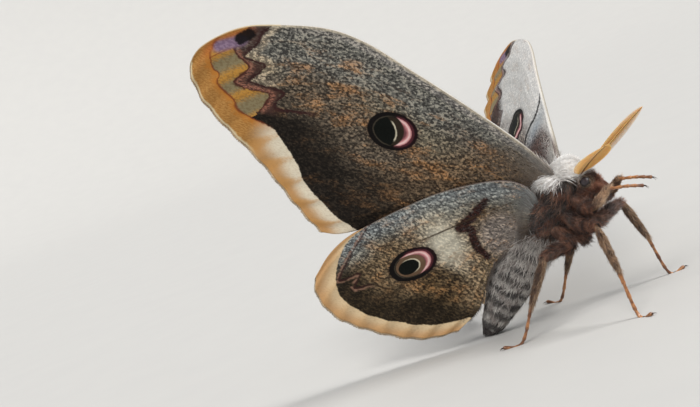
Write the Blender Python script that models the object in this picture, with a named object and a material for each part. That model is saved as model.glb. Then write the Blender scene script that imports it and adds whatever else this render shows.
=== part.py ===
"""Giant peacock moth, a male at life size, standing on a floor with its wings half raised.

The moth is modelled in the axes of its body: x to its left, y towards its tail, z to its back.
Each wing is modelled in its own plane: x along the span, y towards the rear edge, z to the back.
Lengths are in millimetres and become metres when an object is made.
"""

import math
import random

import bmesh
import bpy
import numpy as np
from mathutils import Matrix, Vector
from mathutils.bvhtree import BVHTree

MM = 0.001
GAP = 0.3
CUT_MARGIN = 0.34
SEED = 7

# Attitude of the body in degrees, and the place of the middle of the thorax above the floor
BODY_PITCH = 42.0
BODY_ROLL = 10.0
THORAX_CENTRE = (-19.17, -15.41, 23.0)

# Thorax under its coat, from neck to waist: along the body, height of its axis, half width, half height
THORAX_STATIONS = [
    (-6.8, -0.4, 1.6, 1.4),
    (-6.4, -0.4, 2.6, 2.4),
    (-5.5, -0.3, 3.6, 3.4),
    (-3.8, -0.2, 4.4, 4.5),
    (-1.4, -0.1, 5.0, 5.3),
    (2.0, 0.0, 5.0, 5.3),
    (4.6, 0.0, 4.7, 4.9),
    (6.4, -0.1, 4.4, 4.5),
    (7.0, -0.2, 4.1, 4.1),
]
THORAX_SIDES = 20

# Abdomen under its coat: its segments follow a line that droops, and each one bulges a little
ABDOMEN_LINE = [(0.0, 7.3, -0.2), (0.0, 13.0, -0.5), (0.0, 19.0, -1.0), (0.0, 25.0, -1.6), (0.0, 31.4, -2.2)]
ABDOMEN_RADII = [4.1, 4.9, 4.9, 4.6, 4.2, 3.7, 3.1, 2.5, 1.3]
ABDOMEN_BULGE = 0.3
BULGE_PLACE = 0.55
ABDOMEN_SIDES = 16

# Coat: rows of locks round the thorax and the abdomen, each with its place along the body, how many,
# length, half width and how high the tips stand
THORAX_COAT = [
    (-5.9, 15, 3.4, 1.05, 1.9),
    (-4.3, 17, 4.2, 1.15, 1.6),
    (-1.9, 17, 4.4, 1.2, 1.3),
    (0.8, 17, 4.4, 1.2, 1.2),
    (3.4, 16, 4.4, 1.2, 1.2),
]
ABDOMEN_COAT = [
    (7.9, 12, 4.2, 1.15, 0.95),
    (11.0, 11, 4.2, 1.15, 0.9),
    (14.6, 10, 4.0, 1.1, 0.9),
    (18.2, 9, 3.8, 1.05, 0.85),
    (21.8, 8, 3.4, 1.0, 0.8),
    (25.4, 7, 3.2, 0.9, 0.75),
    (28.4, 6, 3.0, 0.8, 0.6),
]
LOCK_SINK = 0.9
LOCK_HALF_THICKNESS = 0.28
LOCK_ROOT_SHARE = 0.85
LOCK_TIP_SHARE = 0.16
LOCK_BEND_PLACE = 0.45
LOCK_DRIFT = 0.12
LOCK_LENGTH_SPREAD = 0.15
LOCK_TRIALS = (1.0, 0.8, 0.62)
WAIST_HALF_SIZE = 4.9

# The head hangs under the front of the thorax, with its face down
HEAD_CENTRE = (0.0, -6.0, -4.5)
HEAD_SIZE = (2.4, 2.2, 2.5)
EYE_CENTRE = (1.95, -6.7, -4.6)
EYE_RADIUS = 1.05
PALP_PATH = [(0.9, -7.0, -6.2), (0.96, -7.4, -7.0), (0.96, -7.5, -7.9)]
PALP_RADII = [0.76, 0.72, 0.4]

# Antenna: a shaft with a comb of tapered branches to both sides, widest before the middle; each side
# has its direction, with x outward, and the turn of its comb about the shaft in degrees
ANTENNA_ROOT = (1.2, -7.2, -2.8)
ANTENNA_POSES = {
    "right": {"direction": (0.708, -0.664, -0.239), "turn": 0.0},
    "left": {"direction": (0.441, -0.897, -0.012), "turn": -15.0},
}
ANTENNA_LENGTH = 16.0
ANTENNA_BOW = 0.9
ANTENNA_RADII = (0.45, 0.28)
ANTENNA_STEPS = 8
ANTENNA_SUNK = -0.06
BRANCH_PAIRS = 13
BRANCH_REACH = (0.09, 0.95)
BRANCH_LENGTH = 3.7
BRANCH_LEAN = 32.0
BRANCH_BEND_PLACE = 0.55
BRANCH_CURL = 1.6
BRANCH_DROOP = 0.2
LEAF_SKEW = 0.75
LEAF_FULLNESS = 0.7
BRANCH_RADII = [0.29, 0.27, 0.16]

# Wing outlines in the wing's plane, as four curves from smooth points: front edge, rear edge, base, outer edge
FORE_COSTA = [(-3.0, 0.4), (4.3, -2.9), (15.8, -6.7), (28.7, -10.5), (38.9, -13.3), (47.0, -13.6),
              (57.1, -11.2), (61.4, -9.4), (64.9, -6.8), (67.5, -4.0), (68.5, -2.0), (68.8, -0.4)]
FORE_REAR = [(-2.4, 5.4), (7.0, 8.0), (17.0, 13.4), (27.5, 21.6), (32.9, 25.0), (36.5, 25.8)]
FORE_OUTER = [(68.8, -0.4), (68.5, 1.0), (67.4, 3.0), (65.0, 5.9), (60.3, 9.4), (51.1, 15.2), (41.5, 22.5),
              (36.5, 25.8)]
HIND_COSTA = [(-2.0, 6.6), (2.4, 3.9), (8.1, 4.8), (16.6, 10.0), (22.5, 15.2), (28.6, 21.4), (31.8, 25.2),
              (34.0, 29.6), (35.2, 34.6)]
HIND_REAR = [(-2.0, 13.0), (2.8, 20.0), (3.1, 26.0), (3.0, 31.0), (5.2, 36.6)]
HIND_OUTER = [(35.2, 34.6), (33.8, 38.4), (28.2, 42.0), (18.0, 42.2), (10.8, 40.4), (5.2, 36.6)]

# Veins: place across the wing from front to rear edge, and how far out from the base each one starts
FORE_VEINS = [(0.07, 0.0), (0.17, 0.0), (0.27, 0.28), (0.38, 0.40), (0.49, 0.42), (0.60, 0.40), (0.70, 0.28),
              (0.81, 0.0), (0.93, 0.0)]
HIND_VEINS = [(0.06, 0.0), (0.18, 0.0), (0.30, 0.34), (0.42, 0.38), (0.54, 0.34), (0.67, 0.0), (0.80, 0.0),
              (0.93, 0.0)]
VEIN_HALF_WIDTH = 0.011
VEIN_HEIGHT = 0.2
VEIN_RISE = 0.08
VEIN_TAPER = 0.4
COSTA_EXTRA = 0.2
COSTA_TAPER = 0.6
ROOT_END = 0.24
WING_HALF_THICKNESS = 0.26
ROOT_EXTRA = 0.25
WING_ROWS = [0.0, 0.07, 0.15, 0.24, 0.33, 0.42, 0.52, 0.62, 0.72, 0.82, 0.91, 0.97, 1.0]
WING_CAMBER = 1.5
WING_SPAN = 69.0
HIND_OFFSET = 1.6

# Attitude of each pair of wings in degrees, and the place of its hinge on the body
WING_POSES = {
    "right": {"lift": 60.7, "sweep": 8.7, "twist": -1.6, "hinge": (4.0, -5.0, 3.0), "hind_turn": 0.0},
    "left": {"lift": 37.8, "sweep": 7.7, "twist": -6.9, "hinge": (3.5, -5.0, 4.0), "hind_turn": 12.0},
}
HIND_PIVOT = (2.0, 8.0)

# Legs: where the coxa leaves the thorax and ends, in the body's axes, and the joints beyond it from
# the floor point below the thorax centre, with x outward
LEGS = {
    "front": {"coxa": [(1.8, -2.8, -4.0), (2.4, -3.0, -6.2)],
              "joints": [(6.4, -8.6, 19.6), (4.4, -11.8, 22.2), (3.9, -15.2, 21.7), (3.6, -18.2, 20.9)]},
    "middle": {"coxa": [(2.4, 0.4, -4.0), (3.4, 0.3, -8.4)],
               "joints": [(9.8, -9.2, 17.0), (12.2, -11.2, 8.6), (13.8, -12.6, 0.24), (15.2, -15.4, 0.4)]},
    "hind": {"coxa": [(2.4, 4.0, -4.0), (3.3, 4.4, -8.1)],
             "joints": [(10.6, 1.8, 14.2), (12.4, 6.6, 6.4), (13.4, 10.4, 0.24), (14.6, 13.8, 0.4)]},
}
FEMUR_RADII = [1.75, 1.45, 1.55, 1.0]
TIBIA_BULGE_PLACE = 0.45
TIBIA_RADII = [0.95, 1.25, 0.8]
TARSUS_RADII = [0.62, 0.52, 0.5]
LEG_SIDES = 8
TARSUS_SIDES = 6

COLOURS = {
    "wing_grey": ((0.20, 0.17, 0.15, 1.0), 0.85),
    "wing_brown": ((0.17, 0.12, 0.10, 1.0), 0.85),
    "fur_brown": ((0.13, 0.075, 0.06, 1.0), 0.95),
    "abdomen_grey": ((0.35, 0.30, 0.27, 1.0), 0.95),
    "face_brown": ((0.20, 0.12, 0.09, 1.0), 0.9),
    "eye_dark": ((0.035, 0.03, 0.04, 1.0), 0.25),
    "antenna_ochre": ((0.55, 0.36, 0.15, 1.0), 0.7),
    "leg_brown": ((0.30, 0.19, 0.14, 1.0), 0.85),
    "tarsus_orange": ((0.45, 0.20, 0.07, 1.0), 0.45),
}


def clear_scene():
    for old in list(bpy.data.objects):
        bpy.data.objects.remove(old)


def material(name):
    """The named material, made once, with its colour and roughness."""
    found = bpy.data.materials.get(name)
    if found:
        return found
    made = bpy.data.materials.new(name)
    made.use_nodes = True
    shader = made.node_tree.nodes["Principled BSDF"]
    colour, roughness = COLOURS[name]
    shader.inputs["Base Color"].default_value = colour
    shader.inputs["Roughness"].default_value = roughness
    shader.inputs["Metallic"].default_value = 0.0
    return made


def empty(name, matrix, parent=None):
    """An empty that carries a set of axes, given in millimetres below its parent."""
    axes = bpy.data.objects.new(name, None)
    bpy.context.collection.objects.link(axes)
    axes.parent = parent
    place = matrix.copy()
    place.translation *= MM
    axes.matrix_basis = place
    return axes


def solid(name, points, faces, parent=None, slot=None):
    """A closed triangle mesh with its faces pointing out, from points in millimetres."""
    shape = bmesh.new()
    verts = [shape.verts.new(Vector(p) * MM) for p in points]
    for face in faces:
        shape.faces.new([verts[i] for i in face])
    bmesh.ops.triangulate(shape, faces=shape.faces)
    bmesh.ops.recalc_face_normals(shape, faces=shape.faces)
    if shape.calc_volume(signed=True) < 0:
        bmesh.ops.reverse_faces(shape, faces=shape.faces)
    mesh = bpy.data.meshes.new(name)
    shape.to_mesh(mesh)
    shape.free()
    made = bpy.data.objects.new(name, mesh)
    bpy.context.collection.objects.link(made)
    made.parent = parent
    if slot:
        mesh.materials.append(material(slot))
    return made


def ring(centre, across, up, half_width, half_height, sides, phase=0.0):
    turns = [2 * math.pi * (k + phase) / sides for k in range(sides)]
    return [centre + across * (half_width * math.cos(a)) + up * (half_height * math.sin(a)) for a in turns]


def loft(rings):
    """Points and faces through rings of one count, with a fan over each end ring."""
    sides = len(rings[0])
    points = [p for r in rings for p in r]
    faces = []
    for k in range(len(rings) - 1):
        for i in range(sides):
            j = (i + 1) % sides
            faces.append((k * sides + i, k * sides + j, (k + 1) * sides + j, (k + 1) * sides + i))
    for first, r in ((0, rings[0]), ((len(rings) - 1) * sides, rings[-1])):
        middle = sum(r, Vector()) / sides
        points.append(middle)
        faces += [(first + i, first + (i + 1) % sides, len(points) - 1) for i in range(sides)]
    return points, faces


def tube(path, sizes, sides, up_hint=(0.0, 0.0, 1.0), phase=0.5):
    """Rings square to a path, each with its half width and half height."""
    path = [Vector(p) for p in path]
    rings = []
    for k, centre in enumerate(path):
        before = path[max(k - 1, 0)]
        after = path[min(k + 1, len(path) - 1)]
        along = (after - before).normalized()
        across = along.cross(Vector(up_hint)).normalized()
        up = across.cross(along)
        half_width, half_height = sizes[k] if isinstance(sizes[k], tuple) else (sizes[k], sizes[k])
        rings.append(ring(centre, across, up, half_width, half_height, sides, phase))
    return loft(rings)


def smooth_curve(points):
    """A Catmull-Rom curve through the points, as a function of 0 to 1 along their polyline."""
    points = [Vector(p) for p in points]
    ends = [2 * points[0] - points[1]] + points + [2 * points[-1] - points[-2]]
    steps = [(b - a).length for a, b in zip(points, points[1:])]
    reach = np.concatenate([[0.0], np.cumsum(steps)])

    def at(t):
        distance = t * reach[-1]
        k = min(max(int(np.searchsorted(reach, distance, side="right")) - 1, 0), len(points) - 2)
        f = (distance - reach[k]) / steps[k]
        a, b, c, d = ends[k:k + 4]
        squared, cubed = 2 * a - 5 * b + 4 * c - d, 3 * b - a - 3 * c + d
        return 0.5 * (2 * b + (c - a) * f + squared * f ** 2 + cubed * f ** 3)

    return at


def apply_modifiers(target):
    """Writes an object's modifiers into its mesh."""
    bpy.context.view_layer.update()
    evaluated = target.evaluated_get(bpy.context.evaluated_depsgraph_get())
    mesh = bpy.data.meshes.new_from_object(evaluated)
    target.modifiers.clear()
    target.data = mesh


def keep_largest(target):
    """Leaves only the closed surface with the greatest volume, as triangles."""
    shape = bmesh.new()
    shape.from_mesh(target.data)
    bmesh.ops.triangulate(shape, faces=shape.faces)
    unseen = set(shape.verts)
    best, best_volume = set(), -1.0
    while unseen:
        stack = [unseen.pop()]
        island = set(stack)
        while stack:
            for edge in stack.pop().link_edges:
                for vert in edge.verts:
                    if vert in unseen:
                        unseen.remove(vert)
                        island.add(vert)
                        stack.append(vert)
        faces = {f for v in island for f in v.link_faces}
        volume = abs(sum(f.verts[0].co.dot(f.verts[1].co.cross(f.verts[2].co)) for f in faces) / 6)
        if volume > best_volume:
            best, best_volume = island, volume
    bmesh.ops.delete(shape, geom=[v for v in shape.verts if v not in best], context="VERTS")
    shape.to_mesh(target.data)
    shape.free()


def join(target, pieces):
    """Unites closed pieces with a solid, and drops what the union leaves loose."""
    gathered = bpy.data.collections.new("pieces")
    bpy.context.scene.collection.children.link(gathered)
    for piece in pieces:
        gathered.objects.link(piece)
        bpy.context.collection.objects.unlink(piece)
    modifier = target.modifiers.new("join", "BOOLEAN")
    modifier.operation = "UNION"
    modifier.solver = "EXACT"
    modifier.operand_type = "COLLECTION"
    modifier.collection = gathered
    apply_modifiers(target)
    for piece in pieces:
        bpy.data.objects.remove(piece)
    bpy.data.collections.remove(gathered)
    keep_largest(target)


def cut(target, cutters):
    """Cuts a solid clear of the cutters and keeps what is left in one piece."""
    for cutter in cutters:
        modifier = target.modifiers.new("cut", "BOOLEAN")
        modifier.operation = "DIFFERENCE"
        modifier.solver = "EXACT"
        modifier.object = cutter
    apply_modifiers(target)
    keep_largest(target)


def clearance_of(source, name):
    """A hidden copy of a solid, grown by the gap that its neighbours keep."""
    shape = bmesh.new()
    shape.from_mesh(source.data)
    shape.normal_update()
    moved = [v.co + v.normal * (CUT_MARGIN * MM) for v in shape.verts]
    for vert, place in zip(shape.verts, moved):
        vert.co = place
    mesh = bpy.data.meshes.new(name)
    shape.to_mesh(mesh)
    shape.free()
    guide = bpy.data.objects.new(name, mesh)
    bpy.context.collection.objects.link(guide)
    guide.parent = source.parent
    guide.hide_render = True
    guide.display_type = "WIRE"
    return guide


def stand_on_floor(target):
    """Flattens what would reach below the floor, so that it rests on a small flat."""
    bpy.context.view_layer.update()
    to_world = target.matrix_world.copy()
    back = to_world.inverted()
    for vert in target.data.vertices:
        place = to_world @ vert.co
        if place.z < 0.0:
            place.z = 0.0
            vert.co = back @ place


def make_thorax(body):
    rings = []
    for y, z, half_width, half_height in THORAX_STATIONS:
        centre = Vector((0.0, y, z))
        rings.append(ring(centre, Vector((1, 0, 0)), Vector((0, 0, 1)), half_width, half_height, THORAX_SIDES))
    return solid("thorax", *loft(rings), parent=body, slot="fur_brown")


def thorax_surface(angle, y):
    """A point on the thorax under its coat and the way out of it; past the waist it stays wide."""
    reach, height, half_width, half_height = zip(*THORAX_STATIONS)
    widest = 0.0 if y < reach[-3] else WAIST_HALF_SIZE
    wide = max(np.interp(y, reach, half_width), widest)
    high = max(np.interp(y, reach, half_height), widest)
    out = Vector((math.cos(angle), 0.0, math.sin(angle)))
    return Vector((wide * out.x, y, float(np.interp(y, reach, height)) + high * out.z)), out


def abdomen_surface(angle, y):
    """A point on the abdomen under its coat and the way out of it."""
    line = smooth_curve(ABDOMEN_LINE)
    share = (y - ABDOMEN_LINE[0][1]) / (ABDOMEN_LINE[-1][1] - ABDOMEN_LINE[0][1])
    centre = line(min(max(share, 0.0), 1.0))
    centre.y = y
    places = np.linspace(0.0, 1.0, len(ABDOMEN_RADII))
    radius = float(np.interp(share, places, ABDOMEN_RADII)) + ABDOMEN_BULGE / 2
    out = Vector((math.cos(angle), 0.0, math.sin(angle)))
    return centre + out * radius, out


def lock(surface, angle, start, length, half_width, lift, drift, grow=0.0):
    """A flat tapered lock: its root is sunk in the body, and it follows the surface to a raised tip."""
    bend = LOCK_BEND_PLACE
    steps = ((0.0, -LOCK_SINK, LOCK_ROOT_SHARE), (bend, bend * lift, 1.0), (1.0, lift, LOCK_TIP_SHARE))
    path, outs = [], []
    for share, height, _ in steps:
        place, out = surface(angle + drift * share, start + length * share + grow * share)
        path.append(place + out * height)
        outs.append(out)
    rings = []
    for k, (_, _, share) in enumerate(steps):
        along = (path[min(k + 1, 2)] - path[max(k - 1, 0)]).normalized()
        across = along.cross(outs[k]).normalized()
        up = across.cross(along)
        thickness = LOCK_HALF_THICKNESS * (1.0 + share) / 2
        rings.append(ring(path[k], across, up, half_width * share + grow, thickness + grow, 4))
    return loft(rings)


def shape_tree(target, axes):
    """The faces of a solid as a search tree in the given axes, in millimetres."""
    bpy.context.view_layer.update()
    place = axes.matrix_world.inverted() @ target.matrix_world
    points = [(place @ vert.co) / MM for vert in target.data.vertices]
    return BVHTree.FromPolygons(points, [tuple(f.vertices) for f in target.data.polygons])


def grow_coat(target, rows, surface, body, neighbours):
    """Rows of locks that overlap along the body, shortened or left out where they would meet a neighbour."""
    trees = [shape_tree(o, body) for o in neighbours]
    to_world = body.matrix_world.copy()
    draw = random.Random(SEED)
    locks = []
    for row, (start, count, length, half_width, lift) in enumerate(rows):
        for k in range(count):
            angle = 2 * math.pi * (k + 0.5 * (row % 2)) / count + draw.uniform(-LOCK_DRIFT, LOCK_DRIFT)
            drift = draw.uniform(-LOCK_DRIFT, LOCK_DRIFT)
            full = length * (1 + draw.uniform(-LOCK_LENGTH_SPREAD, LOCK_LENGTH_SPREAD))
            for share in LOCK_TRIALS:
                shape = (surface, angle, start, full * share, half_width, lift * share, drift)
                points, faces = lock(*shape, grow=CUT_MARGIN)
                tree = BVHTree.FromPolygons(points, faces)
                lowest = min((to_world @ (p * MM)).z for p in points)
                if lowest > 0.0 and not any(tree.overlap(other) for other in trees):
                    locks.append(solid("lock", *lock(*shape), parent=body))
                    break
    join(target, locks)


def make_abdomen(body):
    """Segments along the drooping line, each from a narrow ring over a bulge to the next."""
    line = smooth_curve(ABDOMEN_LINE)
    count = len(ABDOMEN_RADII) - 1
    path, sizes = [], []
    for k in range(count):
        here, after = ABDOMEN_RADII[k], ABDOMEN_RADII[k + 1]
        path += [line(k / count), line((k + BULGE_PLACE) / count)]
        sizes += [here, (here + after) / 2 + ABDOMEN_BULGE]
    path.append(line(1.0))
    sizes.append(ABDOMEN_RADII[-1])
    made = solid("abdomen", *tube(path, sizes, ABDOMEN_SIDES), parent=body, slot="abdomen_grey")
    stand_on_floor(made)
    return made


def sphere(name, centre, size, columns, rows, body, slot=None):
    rings = []
    for k in range(1, rows):
        angle = math.pi * k / rows
        middle = Vector(centre) + Vector((0.0, -size[1] * math.cos(angle), 0.0))
        across = Vector((size[0] * math.sin(angle), 0, 0))
        up = Vector((0, 0, size[2] * math.sin(angle)))
        rings.append(ring(middle, across, up, 1.0, 1.0, columns))
    points, faces = loft(rings)
    points[-2] = Vector(centre) - Vector((0.0, size[1], 0.0))
    points[-1] = Vector(centre) + Vector((0.0, size[1], 0.0))
    return solid(name, points, faces, parent=body, slot=slot)


def mirrored(point, sign):
    return Vector((point[0] * sign, point[1], point[2]))


def make_head(body, clearances):
    """The head with its sockets, and the eyes, palps and antennae that it carries; gives its clearance."""
    head = sphere("head", HEAD_CENTRE, HEAD_SIZE, 18, 12, body, "face_brown")
    sockets = []
    for side, sign in (("left", 1), ("right", -1)):
        centre = mirrored(EYE_CENTRE, sign)
        sphere(f"eye_{side}", centre, (EYE_RADIUS,) * 3, 12, 8, body, "eye_dark")
        socket = sphere(f"socket_{side}", centre, (EYE_RADIUS + GAP,) * 3, 12, 8, body)
        socket.hide_render = True
        socket.display_type = "WIRE"
        sockets.append(socket)
    cut(head, clearances + sockets)
    for socket in sockets:
        bpy.data.objects.remove(socket)
    clearance = clearance_of(head, "head_clearance")
    for side, sign in (("left", 1), ("right", -1)):
        make_palp(side, sign, body, clearance)
        make_antenna(side, sign, body, [clearance] + clearances)
    return clearance


def make_palp(side, sign, body, clearance):
    path = [mirrored(p, sign) for p in PALP_PATH]
    palp = solid(f"palp_{side}", *tube(path, PALP_RADII, 8), parent=body, slot="face_brown")
    cut(palp, [clearance])


def branch_length(share):
    """The comb is a leaf: short at both ends and longest before the middle."""
    return BRANCH_LENGTH * math.sin(math.pi * share ** LEAF_SKEW) ** LEAF_FULLNESS


def make_antenna(side, sign, body, clearances):
    """A bowed shaft with its comb, joined into one solid."""
    root = mirrored(ANTENNA_ROOT, sign)
    pose = ANTENNA_POSES[side]
    along = mirrored(pose["direction"], sign).normalized()
    level = along.cross(Vector((0, 0, 1))).normalized()
    across = Matrix.Rotation(-sign * math.radians(pose["turn"]), 3, along) @ level
    up = across.cross(along)

    def shaft(share):
        return root + along * (ANTENNA_LENGTH * share) - level.cross(along) * (ANTENNA_BOW * share ** 2)

    shares = [ANTENNA_SUNK] + [k / ANTENNA_STEPS for k in range(ANTENNA_STEPS + 1)]
    thick, thin = ANTENNA_RADII
    sizes = [thick + (thin - thick) * max(share, 0.0) for share in shares]
    path = [shaft(share) for share in shares]
    antenna = solid(f"antenna_{side}", *tube(path, sizes, 6), parent=body, slot="antenna_ochre")
    branches = []
    low, high = BRANCH_REACH
    for k in range(BRANCH_PAIRS):
        share = low + (high - low) * k / (BRANCH_PAIRS - 1)
        foot, length = shaft(share), branch_length(share)
        for way in (1, -1):
            lean, curled = math.radians(BRANCH_LEAN), math.radians(BRANCH_LEAN * BRANCH_CURL)
            straight = across * (way * math.cos(lean)) + along * math.sin(lean)
            bent = across * (way * math.cos(curled)) + along * math.sin(curled) - up * BRANCH_DROOP
            middle = foot + straight * (length * BRANCH_BEND_PLACE)
            path = [foot, middle, middle + bent * (length * (1.0 - BRANCH_BEND_PLACE))]
            branches.append(solid("branch", *tube(path, BRANCH_RADII, 4, up), parent=body))
    join(antenna, branches)
    cut(antenna, clearances)


def wing_patch(costa, rear, outer):
    """The wing's plane as a patch: u from front to rear edge, v from base to outer edge."""
    front, back, edge = smooth_curve(costa), smooth_curve(rear), smooth_curve(outer)
    a, b, c, d = front(0.0), back(0.0), front(1.0), back(1.0)

    def at(u, v):
        across = (1 - v) * a.lerp(b, u) + v * edge(u)
        along = (1 - u) * front(v) + u * back(v)
        corners = (1 - u) * (1 - v) * a + u * (1 - v) * b + (1 - u) * v * c + u * v * d
        return across + along - corners

    return at


def camber(place):
    """How far the membrane bows to the back at a place in the wing's plane."""
    share = min(max(place.x / WING_SPAN, 0.0), 1.0)
    return WING_CAMBER * math.sin(math.pi * share ** 0.8)


def wing_columns(veins):
    """Places across the wing, each with the vein that starts there, if any."""
    columns = [(0.0, None), (VEIN_HALF_WIDTH, 0.0)]
    for place, start in veins:
        columns += [(place - VEIN_HALF_WIDTH, None), (place, start), (place + VEIN_HALF_WIDTH, None)]
    return columns + [(1.0, None)]


def make_wing(name, outlines, veins, axes, sign, offset, turn, slot, clearances):
    """A membrane of even thickness with its veins raised on both faces."""
    patch = wing_patch(*outlines)
    columns = wing_columns(veins)
    pivot = Vector(HIND_PIVOT)
    upper, lower = [], []
    for v in WING_ROWS:
        for u, start in columns:
            place = patch(u, v)
            place = Matrix.Rotation(math.radians(-turn), 2) @ (place - pivot) + pivot
            half = WING_HALF_THICKNESS + ROOT_EXTRA * max(0.0, 1.0 - v / ROOT_END)
            if start is not None:
                half += VEIN_HEIGHT * min(max((v - start) / VEIN_RISE, 0.0), 1.0) * (1.0 - VEIN_TAPER * v)
            if u <= VEIN_HALF_WIDTH:
                half += COSTA_EXTRA * (1.0 - COSTA_TAPER * v)
            middle = camber(place) + offset
            upper.append(Vector((place.x * sign, place.y, middle + half)))
            lower.append(Vector((place.x * sign, place.y, middle - half)))
    wide, high = len(columns), len(WING_ROWS)
    faces = []
    for j in range(high - 1):
        for i in range(wide - 1):
            a, b, c, d = j * wide + i, j * wide + i + 1, (j + 1) * wide + i + 1, (j + 1) * wide + i
            faces += [(a, b, c), (a, c, d)]
    below = len(upper)
    faces += [tuple(below + i for i in reversed(face)) for face in faces]
    rim = [i for i in range(wide)] + [j * wide + wide - 1 for j in range(1, high)]
    rim += [(high - 1) * wide + i for i in reversed(range(wide - 1))]
    rim += [j * wide for j in reversed(range(1, high - 1))]
    for a, b in zip(rim, rim[1:] + rim[:1]):
        faces += [(b, a, below + a), (b, below + a, below + b)]
    wing = solid(name, upper + lower, faces, parent=axes, slot=slot)
    cut(wing, clearances)


def wing_axes(side, sign, body):
    pose = WING_POSES[side]
    lift = Matrix.Rotation(-sign * math.radians(pose["lift"]), 4, "Y")
    sweep = Matrix.Rotation(sign * math.radians(pose["sweep"]), 4, "Z")
    twist = Matrix.Rotation(math.radians(pose["twist"]), 4, "X")
    place = Matrix.Translation(mirrored(pose["hinge"], sign))
    return empty(f"wing_axes_{side}", place @ lift @ sweep @ twist, body)


def make_wings(body, clearances):
    for side, sign in (("left", 1), ("right", -1)):
        axes = wing_axes(side, sign, body)
        fore = (FORE_COSTA, FORE_REAR, FORE_OUTER)
        hind = (HIND_COSTA, HIND_REAR, HIND_OUTER)
        turn = WING_POSES[side]["hind_turn"]
        place = (axes, sign, 0.0, 0.0)
        make_wing(f"forewing_{side}", fore, FORE_VEINS, *place, "wing_grey", clearances)
        place = (axes, sign, -HIND_OFFSET, turn)
        make_wing(f"hindwing_{side}", hind, HIND_VEINS, *place, "wing_brown", clearances)


def leg_points(leg, sign, body):
    """The leg's joints in the world, from inside the thorax to the tip of the foot."""
    bpy.context.view_layer.update()
    coxa = [body.matrix_world @ (mirrored(p, sign) * MM) / MM for p in leg["coxa"]]
    below = Vector((THORAX_CENTRE[0], THORAX_CENTRE[1], 0.0))
    return coxa + [mirrored(p, sign) + below for p in leg["joints"]]


def make_leg(place, side, sign, body, clearances):
    """Coxa with thigh, shin, and foot, each cut to meet the one before it face to face."""
    hip, coxa_end, knee, ankle, *foot = leg_points(LEGS[place], sign, body)
    name = f"leg_{place}_{side}"
    path = [hip, coxa_end, coxa_end.lerp(knee, 0.5), knee]
    femur = solid(f"{name}_femur", *tube(path, FEMUR_RADII, LEG_SIDES, (0, 1, 0)), slot="leg_brown")
    cut(femur, clearances)
    femur_clearance = clearance_of(femur, "femur_clearance")
    path = [knee, knee.lerp(ankle, TIBIA_BULGE_PLACE), ankle]
    tibia = solid(f"{name}_tibia", *tube(path, TIBIA_RADII, LEG_SIDES, (0, 1, 0)), slot="leg_brown")
    cut(tibia, [femur_clearance])
    tibia_clearance = clearance_of(tibia, "tibia_clearance")
    path = [ankle] + foot
    tarsus = solid(f"{name}_tarsus", *tube(path, TARSUS_RADII, TARSUS_SIDES, phase=0.0), slot="tarsus_orange")
    stand_on_floor(tarsus)
    cut(tarsus, [tibia_clearance])
    bpy.data.objects.remove(femur_clearance)
    bpy.data.objects.remove(tibia_clearance)


def make_moth():
    clear_scene()
    pitch = Matrix.Rotation(math.radians(-BODY_PITCH), 4, "X")
    roll = Matrix.Rotation(math.radians(BODY_ROLL), 4, "Y")
    body = empty("body_axes", Matrix.Translation(THORAX_CENTRE) @ pitch @ roll)
    thorax = make_thorax(body)
    abdomen = make_abdomen(body)
    clearances = [clearance_of(thorax, "thorax_clearance"), clearance_of(abdomen, "abdomen_clearance")]
    head_clearance = make_head(body, clearances[:1])
    make_wings(body, clearances)
    for place in LEGS:
        for side, sign in (("left", 1), ("right", -1)):
            make_leg(place, side, sign, body, [clearances[0], head_clearance])
    for guide in clearances + [head_clearance]:
        bpy.data.objects.remove(guide)
    others = [o for o in bpy.data.objects if o.type == "MESH" and o is not thorax]
    grow_coat(thorax, THORAX_COAT, thorax_surface, body, others)
    others = [o for o in bpy.data.objects if o.type == "MESH" and o is not abdomen]
    grow_coat(abdomen, ABDOMEN_COAT, abdomen_surface, body, others)


make_moth()
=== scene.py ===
"""Looks of the giant peacock moth: scaled wings with their markings, coat, eyes, antennae and feet.

Lengths are in millimetres and become metres when a mesh is made. The body's axes are x to its left,
y towards its tail and z to its back; each wing's plane has x along the span and y towards its rear.
"""

import math

import bpy
import numpy as np
from mathutils import Matrix, Vector
from mathutils.kdtree import KDTree


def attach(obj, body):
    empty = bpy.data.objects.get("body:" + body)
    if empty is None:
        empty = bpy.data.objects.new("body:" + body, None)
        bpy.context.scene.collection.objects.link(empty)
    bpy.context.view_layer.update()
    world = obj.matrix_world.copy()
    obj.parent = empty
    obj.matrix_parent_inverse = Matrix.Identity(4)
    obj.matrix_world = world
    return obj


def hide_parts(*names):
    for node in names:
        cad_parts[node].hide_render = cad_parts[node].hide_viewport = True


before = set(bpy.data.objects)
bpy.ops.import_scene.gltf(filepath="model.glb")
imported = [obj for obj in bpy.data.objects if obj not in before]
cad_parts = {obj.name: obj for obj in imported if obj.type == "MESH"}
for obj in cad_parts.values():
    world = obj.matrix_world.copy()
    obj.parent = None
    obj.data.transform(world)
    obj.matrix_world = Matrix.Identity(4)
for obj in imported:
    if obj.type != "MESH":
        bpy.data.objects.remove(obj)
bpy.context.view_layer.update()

MM = 0.001
BODY_PITCH = 42.0
BODY_ROLL = 10.0
THORAX_CENTRE = (-19.17, -15.41, 23.0)

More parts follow.
